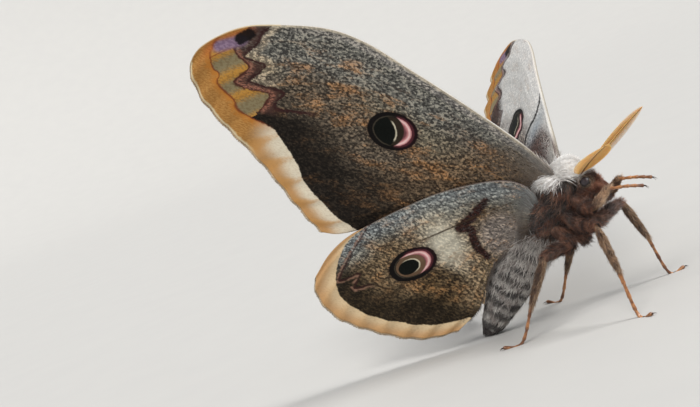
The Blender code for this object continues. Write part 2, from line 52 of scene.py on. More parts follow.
THORAX_STATIONS = [(-6.8, -0.4, 1.6, 1.4), (-6.4, -0.4, 2.6, 2.4), (-5.5, -0.3, 3.6, 3.4),
    (-3.8, -0.2, 4.4, 4.5), (-1.4, -0.1, 5.0, 5.3), (2.0, 0.0, 5.0, 5.3), (4.6, 0.0, 4.7, 4.9),
    (6.4, -0.1, 4.4, 4.5), (8.4, -0.3, 4.0, 4.0)]
ABDOMEN_LINE = [(0.0, 5.3, -0.1), (0.0, 7.3, -0.2), (0.0, 13.0, -0.5), (0.0, 19.0, -1.0), (0.0, 25.0, -1.6),
    (0.0, 31.2, -2.2)]
ABDOMEN_SIZES = [3.6, 4.1, 4.8, 4.9, 4.8, 4.5, 4.1, 3.6, 3.0, 2.4, 1.3]
HEAD_CENTRE = (0.0, -6.0, -4.5)
HEAD_SIZE = (2.4, 2.2, 2.5)
EYE_CENTRE = (1.95, -6.7, -4.6)
EYE_RADIUS = 1.05
PALP_PATH = [(0.9, -6.8, -5.9), (0.94, -7.2, -6.6), (0.96, -7.4, -7.3), (0.96, -7.5, -7.9)]
PALP_SIZES = [0.65, 0.6, 0.45, 0.25]

ANTENNA_ROOT = (1.2, -7.2, -2.8)
ANTENNA_POSES = {
    "right": {"direction": (0.708, -0.664, -0.239), "turn": -20.0},
    "left": {"direction": (0.441, -0.897, -0.012), "turn": -5.0},
}
ANTENNA_LENGTH = 16.0
ANTENNA_BOW = 0.9
BRANCH_LENGTH = 3.7

FORE_COSTA = [(-3.0, 0.4), (4.3, -2.9), (15.8, -6.7), (28.7, -10.5), (38.9, -13.3), (47.0, -13.6),
    (57.1, -11.2), (61.4, -9.4), (64.9, -6.8), (67.5, -4.0), (68.5, -2.0), (68.8, -0.4)]
FORE_REAR = [(-2.4, 5.4), (7.0, 8.0), (17.0, 13.4), (27.5, 21.6), (32.9, 25.0), (36.5, 25.8)]
FORE_OUTER = [(68.8, -0.4), (68.5, 1.0), (67.4, 3.0), (65.0, 5.9), (60.3, 9.4), (51.1, 15.2), (41.5, 22.5),
    (36.5, 25.8)]
HIND_COSTA = [(-2.0, 6.6), (2.4, 3.9), (8.1, 4.8), (16.6, 10.0), (22.5, 15.2), (28.6, 21.4), (31.8, 25.2),
    (34.0, 29.6), (35.2, 34.6)]
HIND_REAR = [(-2.0, 13.0), (2.8, 20.0), (3.1, 26.0), (3.0, 31.0), (5.2, 36.6)]
HIND_OUTER = [(35.2, 34.6), (33.8, 38.4), (28.2, 42.0), (18.0, 42.2), (10.8, 40.4), (5.2, 36.6)]
FORE_VEINS = [(0.0, 0.0), (0.07, 0.0), (0.17, 0.0), (0.27, 0.28), (0.38, 0.40), (0.49, 0.42), (0.60, 0.40),
    (0.70, 0.28), (0.81, 0.0), (0.93, 0.0)]
HIND_VEINS = [(0.0, 0.0), (0.06, 0.0), (0.18, 0.0), (0.30, 0.34), (0.42, 0.38), (0.54, 0.34), (0.67, 0.0),
    (0.80, 0.0), (0.93, 0.0)]
WING_CAMBER = 1.5
WING_SPAN = 69.0
HIND_OFFSET = 1.6
HIND_PIVOT = (2.0, 8.0)
WING_POSES = {
    "right": {"lift": 60.7, "sweep": 8.7, "twist": -1.6, "hinge": (4.0, -5.0, 3.0), "hind_turn": 0.0},
    "left": {"lift": 37.8, "sweep": 7.7, "twist": -6.9, "hinge": (3.5, -5.0, 4.0), "hind_turn": 12.0},
}

# Markings in the wing's plane: lines from the front edge down, and the eyespots
FORE_INNER = [(54.5, -13.5), (57.2, -9.8), (57.7, -7.5), (59.6, -4.4), (57.4, -3.8), (55.3, -3.7),
    (56.5, -1.6), (57.6, 0.1), (55.1, 0.4), (50.8, 0.5), (51.6, 2.4), (51.5, 4.0), (49.2, 3.8), (47.1, 3.5),
    (44.0, 3.1)]
FORE_SECOND = [(59.5, -10.5), (61.4, -6.4), (60.7, -4.2), (58.0, -2.7), (59.2, -0.6), (60.0, 1.2),
    (57.4, 1.6), (53.3, 1.3), (53.2, 2.9), (54.1, 5.2)]
FORE_THIRD = [(64.5, -7.5), (65.6, -4.6), (65.4, -2.4), (64.4, -0.4), (63.0, 0.3), (63.1, 1.8), (61.4, 3.3),
    (59.2, 4.4), (58.2, 6.0), (55.0, 7.0)]
FORE_BORDER = [(52.6, 7.4), (50.2, 8.3), (47.2, 11.0), (44.5, 13.7), (42.2, 16.9), (38.7, 19.3),
    (34.8, 21.7), (29.9, 23.4)]
UPPER_MEDIAN = [(44.0, 3.1), (42.0, 7.5), (39.0, 9.0), (37.5, 13.0), (34.0, 14.5), (32.0, 18.5),
    (28.5, 20.0), (26.0, 22.0)]
UPPER_ANTEMEDIAN = [(20.5, -9.5), (18.6, -4.5), (19.4, 1.0), (17.0, 5.5), (17.6, 9.0), (15.0, 13.5)]
FORE_SPOT = {"centre": (29.0, 1.8), "axis": (1.0, 0.0), "size": (4.9, 3.75), "light": (-1.0, -0.15)}
HIND_SPOT = {"centre": (17.8, 26.05), "axis": (0.68, 0.733), "size": (5.1, 3.2), "light": (-0.5, -0.9)}
HIND_MARK = [(8.6, 8.9), (9.4, 11.8), (10.4, 14.1), (11.6, 16.0), (9.4, 15.5), (8.4, 17.1), (7.0, 18.6),
    (4.7, 19.7)]
UPPER_HIND_MARK = [(12.5, 8.5), (13.5, 13.0), (11.0, 17.5), (8.5, 21.5), (5.0, 25.0)]
HIND_MARK_SIZES = [0.5, 0.8, 0.9, 0.75, 0.8, 0.75, 0.8, 0.6]
HIND_LINE = [(2.0, 6.4), (7.0, 10.6), (12.0, 15.4), (18.5, 21.5)]
HIND_ZIGZAG = [(27.4, 18.6), (29.0, 23.8), (30.7, 33.8), (27.2, 31.5), (27.4, 34.8), (24.2, 32.9),
    (22.5, 33.8)]
HIND_BORDER = [(29.0, 21.8), (30.9, 24.9), (31.7, 28.2), (31.7, 31.6), (30.9, 34.8), (29.2, 37.4),
    (25.3, 39.0), (21.0, 39.4), (17.5, 39.0), (12.9, 38.1), (8.4, 36.2), (5.6, 34.2), (3.6, 33.0)]

LEGS = {
    "front": {"coxa": [(1.8, -2.8, -4.0), (2.4, -3.0, -6.2)],
              "joints": [(6.4, -8.6, 19.6), (4.4, -11.8, 22.2), (3.9, -15.2, 21.7), (3.6, -18.2, 20.9)]},
    "middle": {"coxa": [(2.4, 0.4, -4.0), (3.4, 0.3, -8.4)],
               "joints": [(9.8, -9.2, 17.0), (12.2, -11.2, 8.6), (13.8, -12.6, 0.24), (15.2, -15.4, 0.4)]},
    "hind": {"coxa": [(2.4, 4.0, -4.0), (3.3, 4.4, -8.1)],
             "joints": [(10.6, 1.8, 14.2), (12.4, 6.6, 6.4), (13.4, 10.4, 0.24), (14.6, 13.8, 0.4)]},
}
FEMUR_SIZES = [1.25, 1.05, 1.05, 0.65]
TIBIA_SIZES = [0.5, 0.75, 0.6, 0.34]

# Points before the neck and the face, towards which the fur there is brushed
BEFORE_NECK = (0.0, -9.6, -3.0)
BEFORE_FACE = (0.0, -10.0, -7.2)
# Start and height of each part's share of the coat's flat map
THORAX_BAND = (0.0, 0.25)
ABDOMEN_BAND = (0.3, 0.35)
HEAD_BAND = (0.68, 0.1)
# From the thorax to the camera
CAMERA_OFFSET = Vector((-236.73, -82.48, 33.76))
# Tufts that come lower than this are laid flat above the floor
FLOOR_GAP = 0.3

# How the wing's scales are stretched in its plane
SCALE_STRETCH = (0.75, 1.1, 1.0)

rng = np.random.default_rng(11)


# Vectors and curves

def unit(v):
    return v / np.maximum(np.linalg.norm(v, axis=-1, keepdims=True), 1e-12)


def moved(axes, points):
    m = np.array(axes)
    return points @ m[:3, :3].T + m[:3, 3]


def turned(axes, directions):
    return directions @ np.array(axes)[:3, :3].T


def curve(points):
    """A Catmull-Rom curve through the points, as a function of 0 to 1 along their polyline."""
    pts = np.array(points, float)
    ends = np.vstack([2 * pts[0] - pts[1], pts, 2 * pts[-1] - pts[-2]])
    steps = np.linalg.norm(np.diff(pts, axis=0), axis=1)
    reach = np.concatenate([[0.0], np.cumsum(steps)])

    def at(t):
        d = np.asarray(t, float) * reach[-1]
        k = np.clip(np.searchsorted(reach, d, side="right") - 1, 0, len(pts) - 2)
        f = ((d - reach[k]) / steps[k])[..., None]
        a, b, c, e = (ends[k + i] for i in range(4))
        bend, turn = 2 * a - 5 * b + 4 * c - e, 3 * b - a - 3 * c + e
        return 0.5 * (2 * b + (c - a) * f + bend * f ** 2 + turn * f ** 3)

    return at


def dense(points, count=120):
    return curve(points)(np.linspace(0, 1, count))


def distance(points, line, sizes=None):
    """How far points in the plane are from a line, less the line's own half width there."""
    best = np.full(len(points), 1e9)
    for k in range(len(line) - 1):
        a, ab = line[k], line[k + 1] - line[k]
        t = np.clip(((points - a) @ ab) / max(ab @ ab, 1e-9), 0, 1)
        away = np.linalg.norm(points - a - t[:, None] * ab, axis=1)
        if sizes is not None:
            away = away - (sizes[k] + (sizes[k + 1] - sizes[k]) * t)
        best = np.minimum(best, away)
    return best


def within(points, polygon):
    x, y = points[:, 0], points[:, 1]
    result = np.zeros(len(points), bool)
    for a, b in zip(polygon, np.roll(polygon, -1, axis=0)):
        crosses = (a[1] > y) != (b[1] > y)
        slope = np.where(crosses, (b[0] - a[0]) / np.where(b[1] == a[1], 1e-9, b[1] - a[1]), 0.0)
        result ^= crosses & (x < slope * (y - a[1]) + a[0])
    return result


def signed(points, line, closing):
    """Distance to a line, positive on the side that the closing points enclose."""
    enclosed = within(points, np.vstack([line, np.array(closing, float)]))
    away = distance(points, line)
    return np.where(enclosed, away, -away)


def ease(value, low, high):
    t = np.clip((value - low) / (high - low), 0, 1)
    return t * t * (3 - 2 * t)


def rgb(*channels):
    """A linear colour from display values of 0 to 255."""
    c = np.array(channels, float) / 255
    return np.where(c <= 0.04045, c / 12.92, ((c + 0.055) / 1.055) ** 2.4)


def layer(under, colour, weight):
    return under + (np.asarray(colour) - under) * np.asarray(weight)[:, None]


def ripple(points, size, seed=0):
    """Soft patches between 0 and 1, from a few waves laid across each other."""
    waves = np.random.default_rng(seed)
    total = np.zeros(len(points))
    for k in range(7):
        way = unit(waves.normal(size=points.shape[1]))
        total += np.sin(points @ way * (2 * math.pi / size) * waves.uniform(0.6, 1.5) + waves.uniform(0, 7))
    return np.clip(0.5 + total / 6, 0, 1)


# Meshes

def make_mesh(name, points, faces, material, slot=None, replaces=()):
    """A piece from arrays of points in millimetres and faces with the same number of corners."""
    mesh = bpy.data.meshes.new(name)
    faces = np.asarray(faces)
    mesh.vertices.add(len(points))
    mesh.vertices.foreach_set("co", (np.asarray(points) * MM).astype(np.float32).ravel())
    mesh.loops.add(faces.size)
    mesh.loops.foreach_set("vertex_index", faces.astype(np.int32).ravel())
    mesh.polygons.add(len(faces))
    mesh.polygons.foreach_set("loop_start", np.arange(0, faces.size, faces.shape[1], dtype=np.int32))
    mesh.polygons.foreach_set("use_smooth", np.ones(len(faces), bool))
    mesh.update(calc_edges=True)
    mesh.materials.append(material)
    made = bpy.data.objects.new(name, mesh)
    bpy.context.scene.collection.objects.link(made)
    if slot:
        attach(made, "root")
    if replaces:
        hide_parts(*replaces)
    return made


COLOUR_NAMES = ("ground", "coat")
ATTRIBUTE_KINDS = {1: ("FLOAT", "value"), 3: ("FLOAT_VECTOR", "vector"), 4: ("FLOAT_COLOR", "color")}


def set_attribute(made, name, values):
    """A number, a place or a colour at each point of a piece."""
    values = np.asarray(values, np.float32).reshape(len(values), -1)
    if name in COLOUR_NAMES:
        values = np.hstack([values, np.ones((len(values), 1), np.float32)])
    kind, field = ATTRIBUTE_KINDS[values.shape[1]]
    made.data.attributes.new(name, kind, "POINT").data.foreach_set(field, values.ravel())


def outward(points, faces):
    """The faces of a closed mesh, turned to point out."""
    a, b, c, d = (points[faces[:, k]] for k in (0, 1, 2, -1))
    volume = (a * np.cross(b, c) + a * np.cross(c, d)).sum()
    return faces[:, ::-1] if volume < 0 else faces


def joined(pieces):
    """Several meshes, each of points and faces, as one."""
    starts = np.cumsum([0] + [len(points) for points, faces in pieces[:-1]])
    faces = [faces + start for (points, faces), start in zip(pieces, starts)]
    return np.vstack([points for points, _ in pieces]), np.vstack(faces)


class Form:
    """A limb or trunk as a grid of points: rows along its line, columns round it."""

    def __init__(self, line, across, upward, wide, high, columns, axes=None):
        axes = Matrix.Identity(4) if axes is None else axes
        a = np.linspace(0, 2 * math.pi, columns, endpoint=False)
        self.rows, self.columns = len(line), columns
        self.local = (line[:, None] + across[:, None] * (wide[:, None] * np.cos(a))[..., None]
                      + upward[:, None] * (high[:, None] * np.sin(a))[..., None])
        self.grid = moved(axes, self.local)
        self.line = moved(axes, line)
        down = np.gradient(self.grid, axis=0)
        round_way = np.roll(self.grid, -1, axis=1) - np.roll(self.grid, 1, axis=1)
        normal = unit(np.cross(round_way, down))
        out = self.grid - self.line[:, None]
        self.normal = normal * np.sign((normal * out).sum(-1, keepdims=True))
        self.down = unit(down)
        self.area = np.linalg.norm(np.cross(down, round_way / 2), axis=-1)

    def faces(self):
        """The points of the form and its triangles, closed at both ends."""
        points = np.vstack([self.grid.reshape(-1, 3), self.line[0], self.line[-1]])
        i = np.arange(self.columns)
        j = (i + 1) % self.columns
        last = (self.rows - 1) * self.columns
        top = np.full(self.columns, last + self.columns)
        faces = [np.stack([j, i, top], 1), np.stack([last + i, last + j, top + 1], 1)]
        for a in range(0, last, self.columns):
            b = a + self.columns
            faces += [np.stack([a + i, a + j, b + j], 1), np.stack([a + i, b + j, b + i], 1)]
        return points, outward(points, np.vstack(faces))

    def scatter(self, count, weight=None):
        """Seeded places on the form: point, normal, way along, and shares along and round it."""
        odds = self.area * (weight(self) if weight else 1.0)
        chosen = rng.choice(odds.size, size=count, p=odds.ravel() / odds.sum())
        row, column = np.divmod(chosen, self.columns)
        fr = np.clip(row + rng.uniform(-0.5, 0.5, count), 0, self.rows - 1.001)
        fc = (column + rng.uniform(-0.5, 0.5, count)) % self.columns
        r0, c0 = fr.astype(int), fc.astype(int)
        r1, c1 = r0 + 1, (c0 + 1) % self.columns
        a, b = (fr - r0)[:, None], (fc - c0)[:, None]

        def pick(g):
            return ((g[r0, c0] * (1 - b) + g[r0, c1] * b) * (1 - a)
                    + (g[r1, c0] * (1 - b) + g[r1, c1] * b) * a)

        return {"point": pick(self.grid), "local": pick(self.local), "normal": unit(pick(self.normal)),
                "flow": unit(pick(self.down)), "t": fr / (self.rows - 1), "round": fc / self.columns}


def tube(path, widths, heights=None, up=(0, 0, 1), rows=70, columns=48, axes=None):
    """A form along a smooth path, with a size for each of its points or sizes spread evenly."""
    t = np.linspace(0, 1, rows)
    line = curve(path)(t)
    along = unit(np.gradient(line, axis=0))
    across = unit(np.cross(along, np.array(up, float)))
    steps = np.linalg.norm(np.diff(np.array(path, float), axis=0), axis=1)
    share = np.concatenate([[0.0], np.cumsum(steps)]) / steps.sum()

    def spread(sizes):
        return np.interp(t, share if len(share) == len(sizes) else np.linspace(0, 1, len(sizes)), sizes)

    high = spread(widths if heights is None else heights)
    return Form(line, across, np.cross(across, along), spread(widths), high, columns, axes)


# Materials

class Value:
    """What a node of a material gives: it can be added, subtracted, multiplied and divided."""

    def __init__(self, shader, socket):
        self.shader, self.socket = shader, socket

    def __add__(self, other):
        return self.shader.math("ADD", self, other)

    def __sub__(self, other):
        return self.shader.math("SUBTRACT", self, other)

    def __mul__(self, other):
        return self.shader.math("MULTIPLY", self, other)

    def __truediv__(self, other):
        return self.shader.math("DIVIDE", self, other)

    def __abs__(self):
        return self.shader.math("ABSOLUTE", self)


class Shader:
    """A small way to write a node material."""

    def __init__(self, name, roughness):
        self.material = bpy.data.materials.new(name)
        self.material.use_nodes = True
        self.tree = self.material.node_tree
        self.inputs = self.tree.nodes["Principled BSDF"].inputs
        self.constant(Roughness=roughness)

    def put(self, socket, value):
        if isinstance(value, Value):
            self.tree.links.new(value.socket, socket)
        elif np.ndim(value):
            size = len(socket.default_value)
            socket.default_value = tuple(float(v) for v in value)[:size] + (1.0,) * (size - len(value))
        else:
            socket.default_value = value

    def constant(self, **values):
        for name, value in values.items():
            self.put(self.inputs[name.replace("_", " ")], value)

    def node(self, kind, output, inputs, **settings):
        """One output of a new node, with its inputs given by name or number."""
        node = self.tree.nodes.new("ShaderNode" + kind)
        for name, value in settings.items():
            setattr(node, name, value)
        for name, value in inputs.items():
            self.put(node.inputs[name], value)
        return Value(self, node.outputs[output])

    def math(self, operation, *values):
        return self.node("Math", 0, dict(enumerate(values)), operation=operation)

    def scaled(self, vector, factors):
        return self.node("VectorMath", "Vector", {0: vector, 1: factors}, operation="MULTIPLY")

    def away(self, vector, x=0.0, y=0.0):
        """How far a place is from a point of its plane."""
        return self.node("VectorMath", "Value", {0: vector, 1: (x, y, 0.0)}, operation="DISTANCE")

    def attribute(self, name, output="Fac"):
        return self.node("Attribute", output, {}, attribute_name=name)

    def place(self):
        return self.node("TexCoord", "Object", {})

    def noise(self, vector, scale, detail=2.0, roughness=0.5):
        inputs = {"Vector": vector, "Scale": scale, "Detail": detail, "Roughness": roughness}
        return self.node("TexNoise", "Fac", inputs)

    def cells(self, vector, scale, output="Distance"):
        return self.node("TexVoronoi", output, {"Vector": vector, "Scale": scale})

    def part(self, vector, number):
        return self.node("SeparateXYZ", number, {0: vector})

    def step(self, value, low, high, out_low=0.0, out_high=1.0):
        """A soft step from one value to another as the first one passes from low to high."""
        inputs = dict(enumerate((value, low, high, out_low, out_high)))
        return self.node("MapRange", 0, inputs, interpolation_type="SMOOTHSTEP")

    def band(self, value, middle, half, soft):
        return self.step(abs(value - middle), half + soft, max(half - soft, 0.0))

    def mix(self, share, a, b, blend="MIX"):
        return self.node("Mix", 2, {0: share, 6: a, 7: b}, data_type="RGBA", blend_type=blend)

    def tinted(self, colour, factors):
        return self.mix(1.0, colour, factors, "MULTIPLY")

    def bump(self, height, strength, depth):
        inputs = {"Strength": strength, "Distance": depth, "Height": height}
        self.constant(Normal=self.node("Bump", 0, inputs))

    def colour(self, value):
        self.constant(Base_Color=value)
        return self.material


def wing_ground(s, place):
    """Ground colour with ochre patches, streaks along the veins, and salt and pepper."""
    speck, tan = s.attribute("speck"), s.attribute("tan")
    ochre = s.step(s.broad + s.grain * 0.4, 0.70, 0.90) * tan
    col = s.mix(ochre * 0.55, s.attribute("ground", "Color"), rgb(136, 96, 58))
    streak = s.step(s.vein + s.wobble, 0.42, 0.0) * s.step(s.broad, 0.40, 0.62)
    col = s.mix(streak * tan * 0.55, col, rgb(144, 106, 68))
    dots = s.part(s.cells(s.scaled(place, SCALE_STRETCH), 2.8, "Color"), 0)
    level = dots * 0.6 + s.fine * 1.5 + s.broad * 0.33 - 0.715
    col = s.mix(s.step(level, 0.43, 0.34) * speck * 0.88, col, s.tinted(col, (0.26, 0.25, 0.27)))
    return s.mix(s.step(level, 0.63, 0.72) * speck * 0.8, col, s.tinted(col, (2.7, 2.6, 2.45)))


def wing_zigzags(s, col):
    """The two zigzag lines, what lies between them and beyond them, and the lilac patch."""
    inner = s.attribute("inner") + s.wobble * s.step(s.kind, 0.0, 1.0, 0.8, 0.25)
    second = s.attribute("second") + s.wobble * 0.8
    drawn = s.attribute("drawn")
    rosy = s.step(s.grain, 0.38, 0.62) * s.step(second, -1.5, -0.3)
    rosy = s.mix(rosy, rgb(68, 46, 42), rgb(172, 116, 96))
    rosy = s.mix(s.kind, rosy, rgb(158, 120, 102))
    col = s.mix(s.step(inner, -0.1, 0.25) * s.attribute("fill"), col, rosy)
    streaks = s.vein + (s.grain - 0.5) * 2.6
    olive = s.mix(s.step(streaks, 1.6, 0.2), rgb(138, 126, 96), rgb(186, 136, 62))
    olive = s.mix(s.step(s.fine, 0.54, 0.40) * 0.4, olive, rgb(106, 84, 54))
    olive = s.mix(s.step(s.vein, 0.2, 0.06) * 0.7, olive, rgb(130, 62, 32))
    col = s.mix(s.step(second, -0.12, 0.22), col, olive)
    line = (inner + 0.12) / s.uneven * s.step(s.kind, 0.0, 1.0, 1.0, 1.6)
    col = s.mix(s.band(line, 0.0, 0.27, 0.18) * drawn * 0.94, col, rgb(54, 29, 29))
    line = s.band(second / s.uneven, 0.0, 0.22, 0.18) * s.step(drawn, 0.0, 0.6, 0.0, 0.9)
    col = s.mix(line, col, rgb(70, 34, 30))
    lilac = s.mix(s.step(s.fine, 0.40, 0.60), rgb(120, 98, 122), rgb(142, 120, 142))
    return s.mix(s.attribute("lilac"), col, lilac)


def wing_border(s, col):
    """The border, cream along the wing and gold at the apex, and the orange and pale edges there."""
    border = s.attribute("border") + s.wobble * 0.7
    ratio = s.attribute("ratio") + s.wobble * 0.15
    apex = s.attribute("apex")
    cream = s.mix(s.step(ratio, 0.22, 0.85), rgb(228, 218, 196), rgb(190, 146, 96))
    even = s.mix(s.step(ratio, 0.15, 0.90), rgb(222, 198, 160), rgb(200, 160, 116))
    cream = s.mix(s.kind, cream, even)
    wedge = s.step(s.vein + s.wobble * 1.6 - ratio * 1.5, 0.6, -0.6)
    cream = s.mix(wedge * s.step(s.kind, 0.0, 1.0, 0.75, 0.3), cream, rgb(204, 152, 90))
    cream = s.mix(s.step(s.grain, 0.45, 0.65) * 0.25, cream, rgb(168, 132, 96))
    gold = s.mix(s.step(s.grain, 0.35, 0.7), rgb(160, 112, 58), rgb(192, 144, 82))
    gold = s.mix(s.step(border + s.wobble * 2.4, 1.8, 0.1), gold, rgb(186, 122, 54))
    gold = s.mix(s.step(ratio, 0.88, 0.97), gold, rgb(214, 198, 158))
    col = s.mix(s.step(border, -0.10, 0.14), col, s.mix(apex, cream, gold))
    rim = s.band(border / s.uneven, 0.0, 0.18, 0.20)
    col = s.mix(rim * apex * 0.85, col, rgb(116, 54, 32))
    orange = s.mix(s.step(s.grain, 0.35, 0.65), rgb(164, 94, 48), rgb(196, 122, 66))
    col = s.mix(s.attribute("orange"), col, orange)
    return s.mix(s.step(s.attribute("margin"), 0.34, 0.12) * 0.8, col, rgb(224, 206, 170))


def wing_marks(s, col):
    """The dark marks of both wings and the thin dark vein of the hindwing."""
    mark = s.attribute("mark") + s.wobble * 0.9
    maroon = s.mix(s.step(s.fine, 0.42, 0.62), rgb(30, 16, 15), rgb(58, 32, 29))
    dark = s.mix(s.kind, rgb(17, 14, 16), maroon)
    col = s.mix(s.step(mark, 0.38, -0.22, 0.0, 0.97), col, dark)
    return s.mix(s.step(s.attribute("thread"), 0.24, 0.10, 0.0, 0.85), col, rgb(60, 46, 34))


def wing_eyespot(s, col, spot, lit, across):
    """Eyespot: dark ring, pale crescent on its lit side and a dark pupil behind a thin bright arc."""
    flat = s.scaled(spot, (1.0, 1.0, 0.0))
    ragged = (s.fine - 0.5) * 0.05
    r = s.away(flat) + ragged

    def disc(fore_x, fore_y, fore_radius, hind_x, hind_radius):
        """Distance to a disc's rim, which differs between forewing and hindwing."""
        fore = s.away(flat, fore_x, fore_y) - fore_radius
        hind = s.away(flat, hind_x) - hind_radius
        return fore + s.kind * (hind - fore)

    col = s.mix(s.step(r, 1.22, 0.98) * 0.4, col, rgb(46, 36, 32))
    eye = s.mix(s.step(lit, -0.1, 0.8), rgb(15, 11, 11), rgb(28, 12, 16))
    eye = s.mix(s.band(r, 0.80, 0.05, 0.04) * s.step(lit, 0.0, 0.35), eye, rgb(80, 38, 45))
    eye = s.mix(s.band(r, 0.76, 0.02, 0.03) * s.step(lit, 0.15, -0.25), eye, rgb(60, 55, 46))
    pupil = disc(-0.9, -0.15, 1.03, -0.20, 0.43)
    inside = s.mix(s.kind, rgb(44, 36, 28), rgb(104, 82, 64))
    inside = s.mix(s.step(pupil, 0.03, -0.01), inside, rgb(9, 12, 9))
    bright = s.band(pupil + ragged, 0.02, 0.022, 0.03) * s.step(abs(across), 0.56, 0.40)
    inside = s.mix(bright * s.step(lit, -0.3, -0.05), inside, rgb(204, 196, 172))
    eye = s.mix(s.step(r, 0.73, 0.70), eye, inside)
    bowed = disc(-0.54, 0.0, 0.99, -0.25, 0.74)
    pink = s.mix(s.step(r, 0.50, 0.62), rgb(112, 68, 72), rgb(196, 132, 134))
    pink = s.mix(s.band(r, 0.665, 0.035, 0.04) * 0.8, pink, rgb(238, 208, 204))
    eye = s.mix(s.step(bowed, -0.03, 0.03) * s.step(r, 0.77, 0.73), eye, pink)
    return s.mix(s.step(r, 1.02, 0.97), col, eye)


def wing_material():
    """Scaled wing: ground, zigzags, border, marks and eyespot over each other."""
    s = Shader("wing_scales", 0.75)
    place = s.attribute("plane", "Vector")
    s.fine = s.noise(s.scaled(place, SCALE_STRETCH), 2.1, 1.5, 0.6)
    s.grain = s.noise(s.scaled(place, (0.8, 2.2, 1.0)), 2.0, 3.0, 0.65)
    s.broad = s.noise(s.scaled(place, (0.45, 1.0, 1.0)), 0.36, 4.0, 0.6)
    s.wobble = (s.noise(place, 1.3, 3.0, 0.6) - 0.5) * 0.9
    s.uneven = s.step(s.broad + (s.grain - 0.5) * 0.6, 0.32, 0.68, 0.45, 1.6)
    s.vein = s.attribute("vein")
    # The eyespot's place: towards its lit side, across it, and whether it is on a forewing or a hindwing
    spot = s.attribute("spot", "Vector")
    lit, across, s.kind = (s.part(spot, k) for k in range(3))
    col = wing_border(s, wing_zigzags(s, wing_ground(s, place)))
    col = wing_eyespot(s, wing_marks(s, col), spot, lit, across)
    s.constant(Sheen_Weight=0.03, Sheen_Roughness=0.5, Specular_IOR_Level=0.1)
    s.bump(s.fine * 0.7 + s.grain * 0.7, 0.7, 0.00014)
    return s.colour(col)


def coat_material():
    """Fur: each tuft carries its colour, varied a little along and among the hairs."""
    s = Shader("moth_fur", 0.78)
    coat = s.attribute("coat", "Color")
    fine = s.noise(s.place(), 2600.0)
    broad = s.noise(s.place(), 420.0)
    col = s.mix(s.step(fine, 0.35, 0.7), s.tinted(coat, (0.86, 0.84, 0.83)), coat)
    col = s.mix(s.step(broad, 0.45, 0.75) * 0.12, col, s.mix(0.5, coat, rgb(235, 225, 212)))
    s.constant(Sheen_Weight=0.2, Sheen_Roughness=0.45, Specular_IOR_Level=0.3)
    s.bump(fine, 0.3, 0.00005)
    return s.colour(col)


def eye_material():
    """Compound eye: dark grey in the middle, nearly black towards its rim, with fine facets."""
    s = Shader("compound_eye", 0.36)
    facets = s.cells(s.place(), 15000.0)
    middle = s.attribute("facing") + (s.noise(s.place(), 700.0, 3.0) - 0.5) * 0.2
    col = s.mix(s.step(middle, 0.62, 0.86), rgb(24, 19, 22), rgb(64, 54, 60))
    col = s.mix(s.step(facets, 0.35, 0.62) * 0.7, col, rgb(22, 17, 21))
    s.constant(Coat_Weight=0.15, Coat_Roughness=0.3)
    s.bump(facets, 0.4, 0.00003)
    return s.colour(col)


def antenna_material():
    """Combs of the antennae: pale tan, a little uneven."""
    s = Shader("antenna_chitin", 0.55)
    fine = s.noise(s.place(), 2200.0)
    broad = s.noise(s.place(), 300.0)
    coat = s.attribute("coat", "Color")
    col = s.mix(s.step(fine, 0.4, 0.7), coat, s.mix(0.4, coat, rgb(232, 186, 110)))
    col = s.mix(s.step(broad, 0.5, 0.7) * 0.2, col, s.mix(0.6, coat, rgb(140, 90, 40)))
    s.constant(Subsurface_Weight=0.15, Subsurface_Scale=0.0004)
    s.bump(fine, 0.25, 0.00004)
    return s.colour(col)


def chitin_material():
    """Feet: glossy and orange-brown."""
    s = Shader("foot_chitin", 0.3)
    fine = s.noise(s.place(), 3000.0, 3.0)
    broad = s.noise(s.place(), 500.0)
    col = s.mix(s.step(broad, 0.35, 0.65), rgb(104, 62, 36), rgb(184, 126, 78))
    s.constant(Coat_Weight=0.3, Coat_Roughness=0.2)
    s.bump(fine, 0.3, 0.00004)
    return s.colour(s.mix(s.step(fine, 0.55, 0.75), col, rgb(60, 26, 14)))


def claw_material():
    """Claws: dark horn."""
    s = Shader("claw_horn", 0.25)
    fine = s.noise(s.place(), 4000.0)
    s.bump(fine, 0.15, 0.00002)
    return s.colour(s.mix(s.step(fine, 0.4, 0.7), rgb(26, 14, 10), rgb(70, 34, 18)))


def floor_material():
    """Plain pale studio floor."""
    s = Shader("studio_floor", 0.85)
    fine = s.noise(s.place(), 60.0, 4.0)
    s.bump(fine, 0.05, 0.0003)
    return s.colour(s.mix(fine, rgb(182, 181, 179), rgb(187, 186, 183)))


WING = wing_material()
COAT = coat_material()
EYE = eye_material()
ANTENNA = antenna_material()
CHITIN = chitin_material()
CLAW = claw_material()

body_axes = (Matrix.Translation(THORAX_CENTRE) @ Matrix.Rotation(math.radians(-BODY_PITCH), 4, "X")
             @ Matrix.Rotation(math.radians(BODY_ROLL), 4, "Y"))


def mirrored(point, sign):
    return (point[0] * sign, point[1], point[2])


def wing_axes(side, sign):
    pose = WING_POSES[side]
    lift = Matrix.Rotation(-sign * math.radians(pose["lift"]), 4, "Y")
    sweep = Matrix.Rotation(sign * math.radians(pose["sweep"]), 4, "Z")
    twist = Matrix.Rotation(math.radians(pose["twist"]), 4, "X")
    return body_axes @ Matrix.Translation(mirrored(pose["hinge"], sign)) @ lift @ sweep @ twist


# Tufts

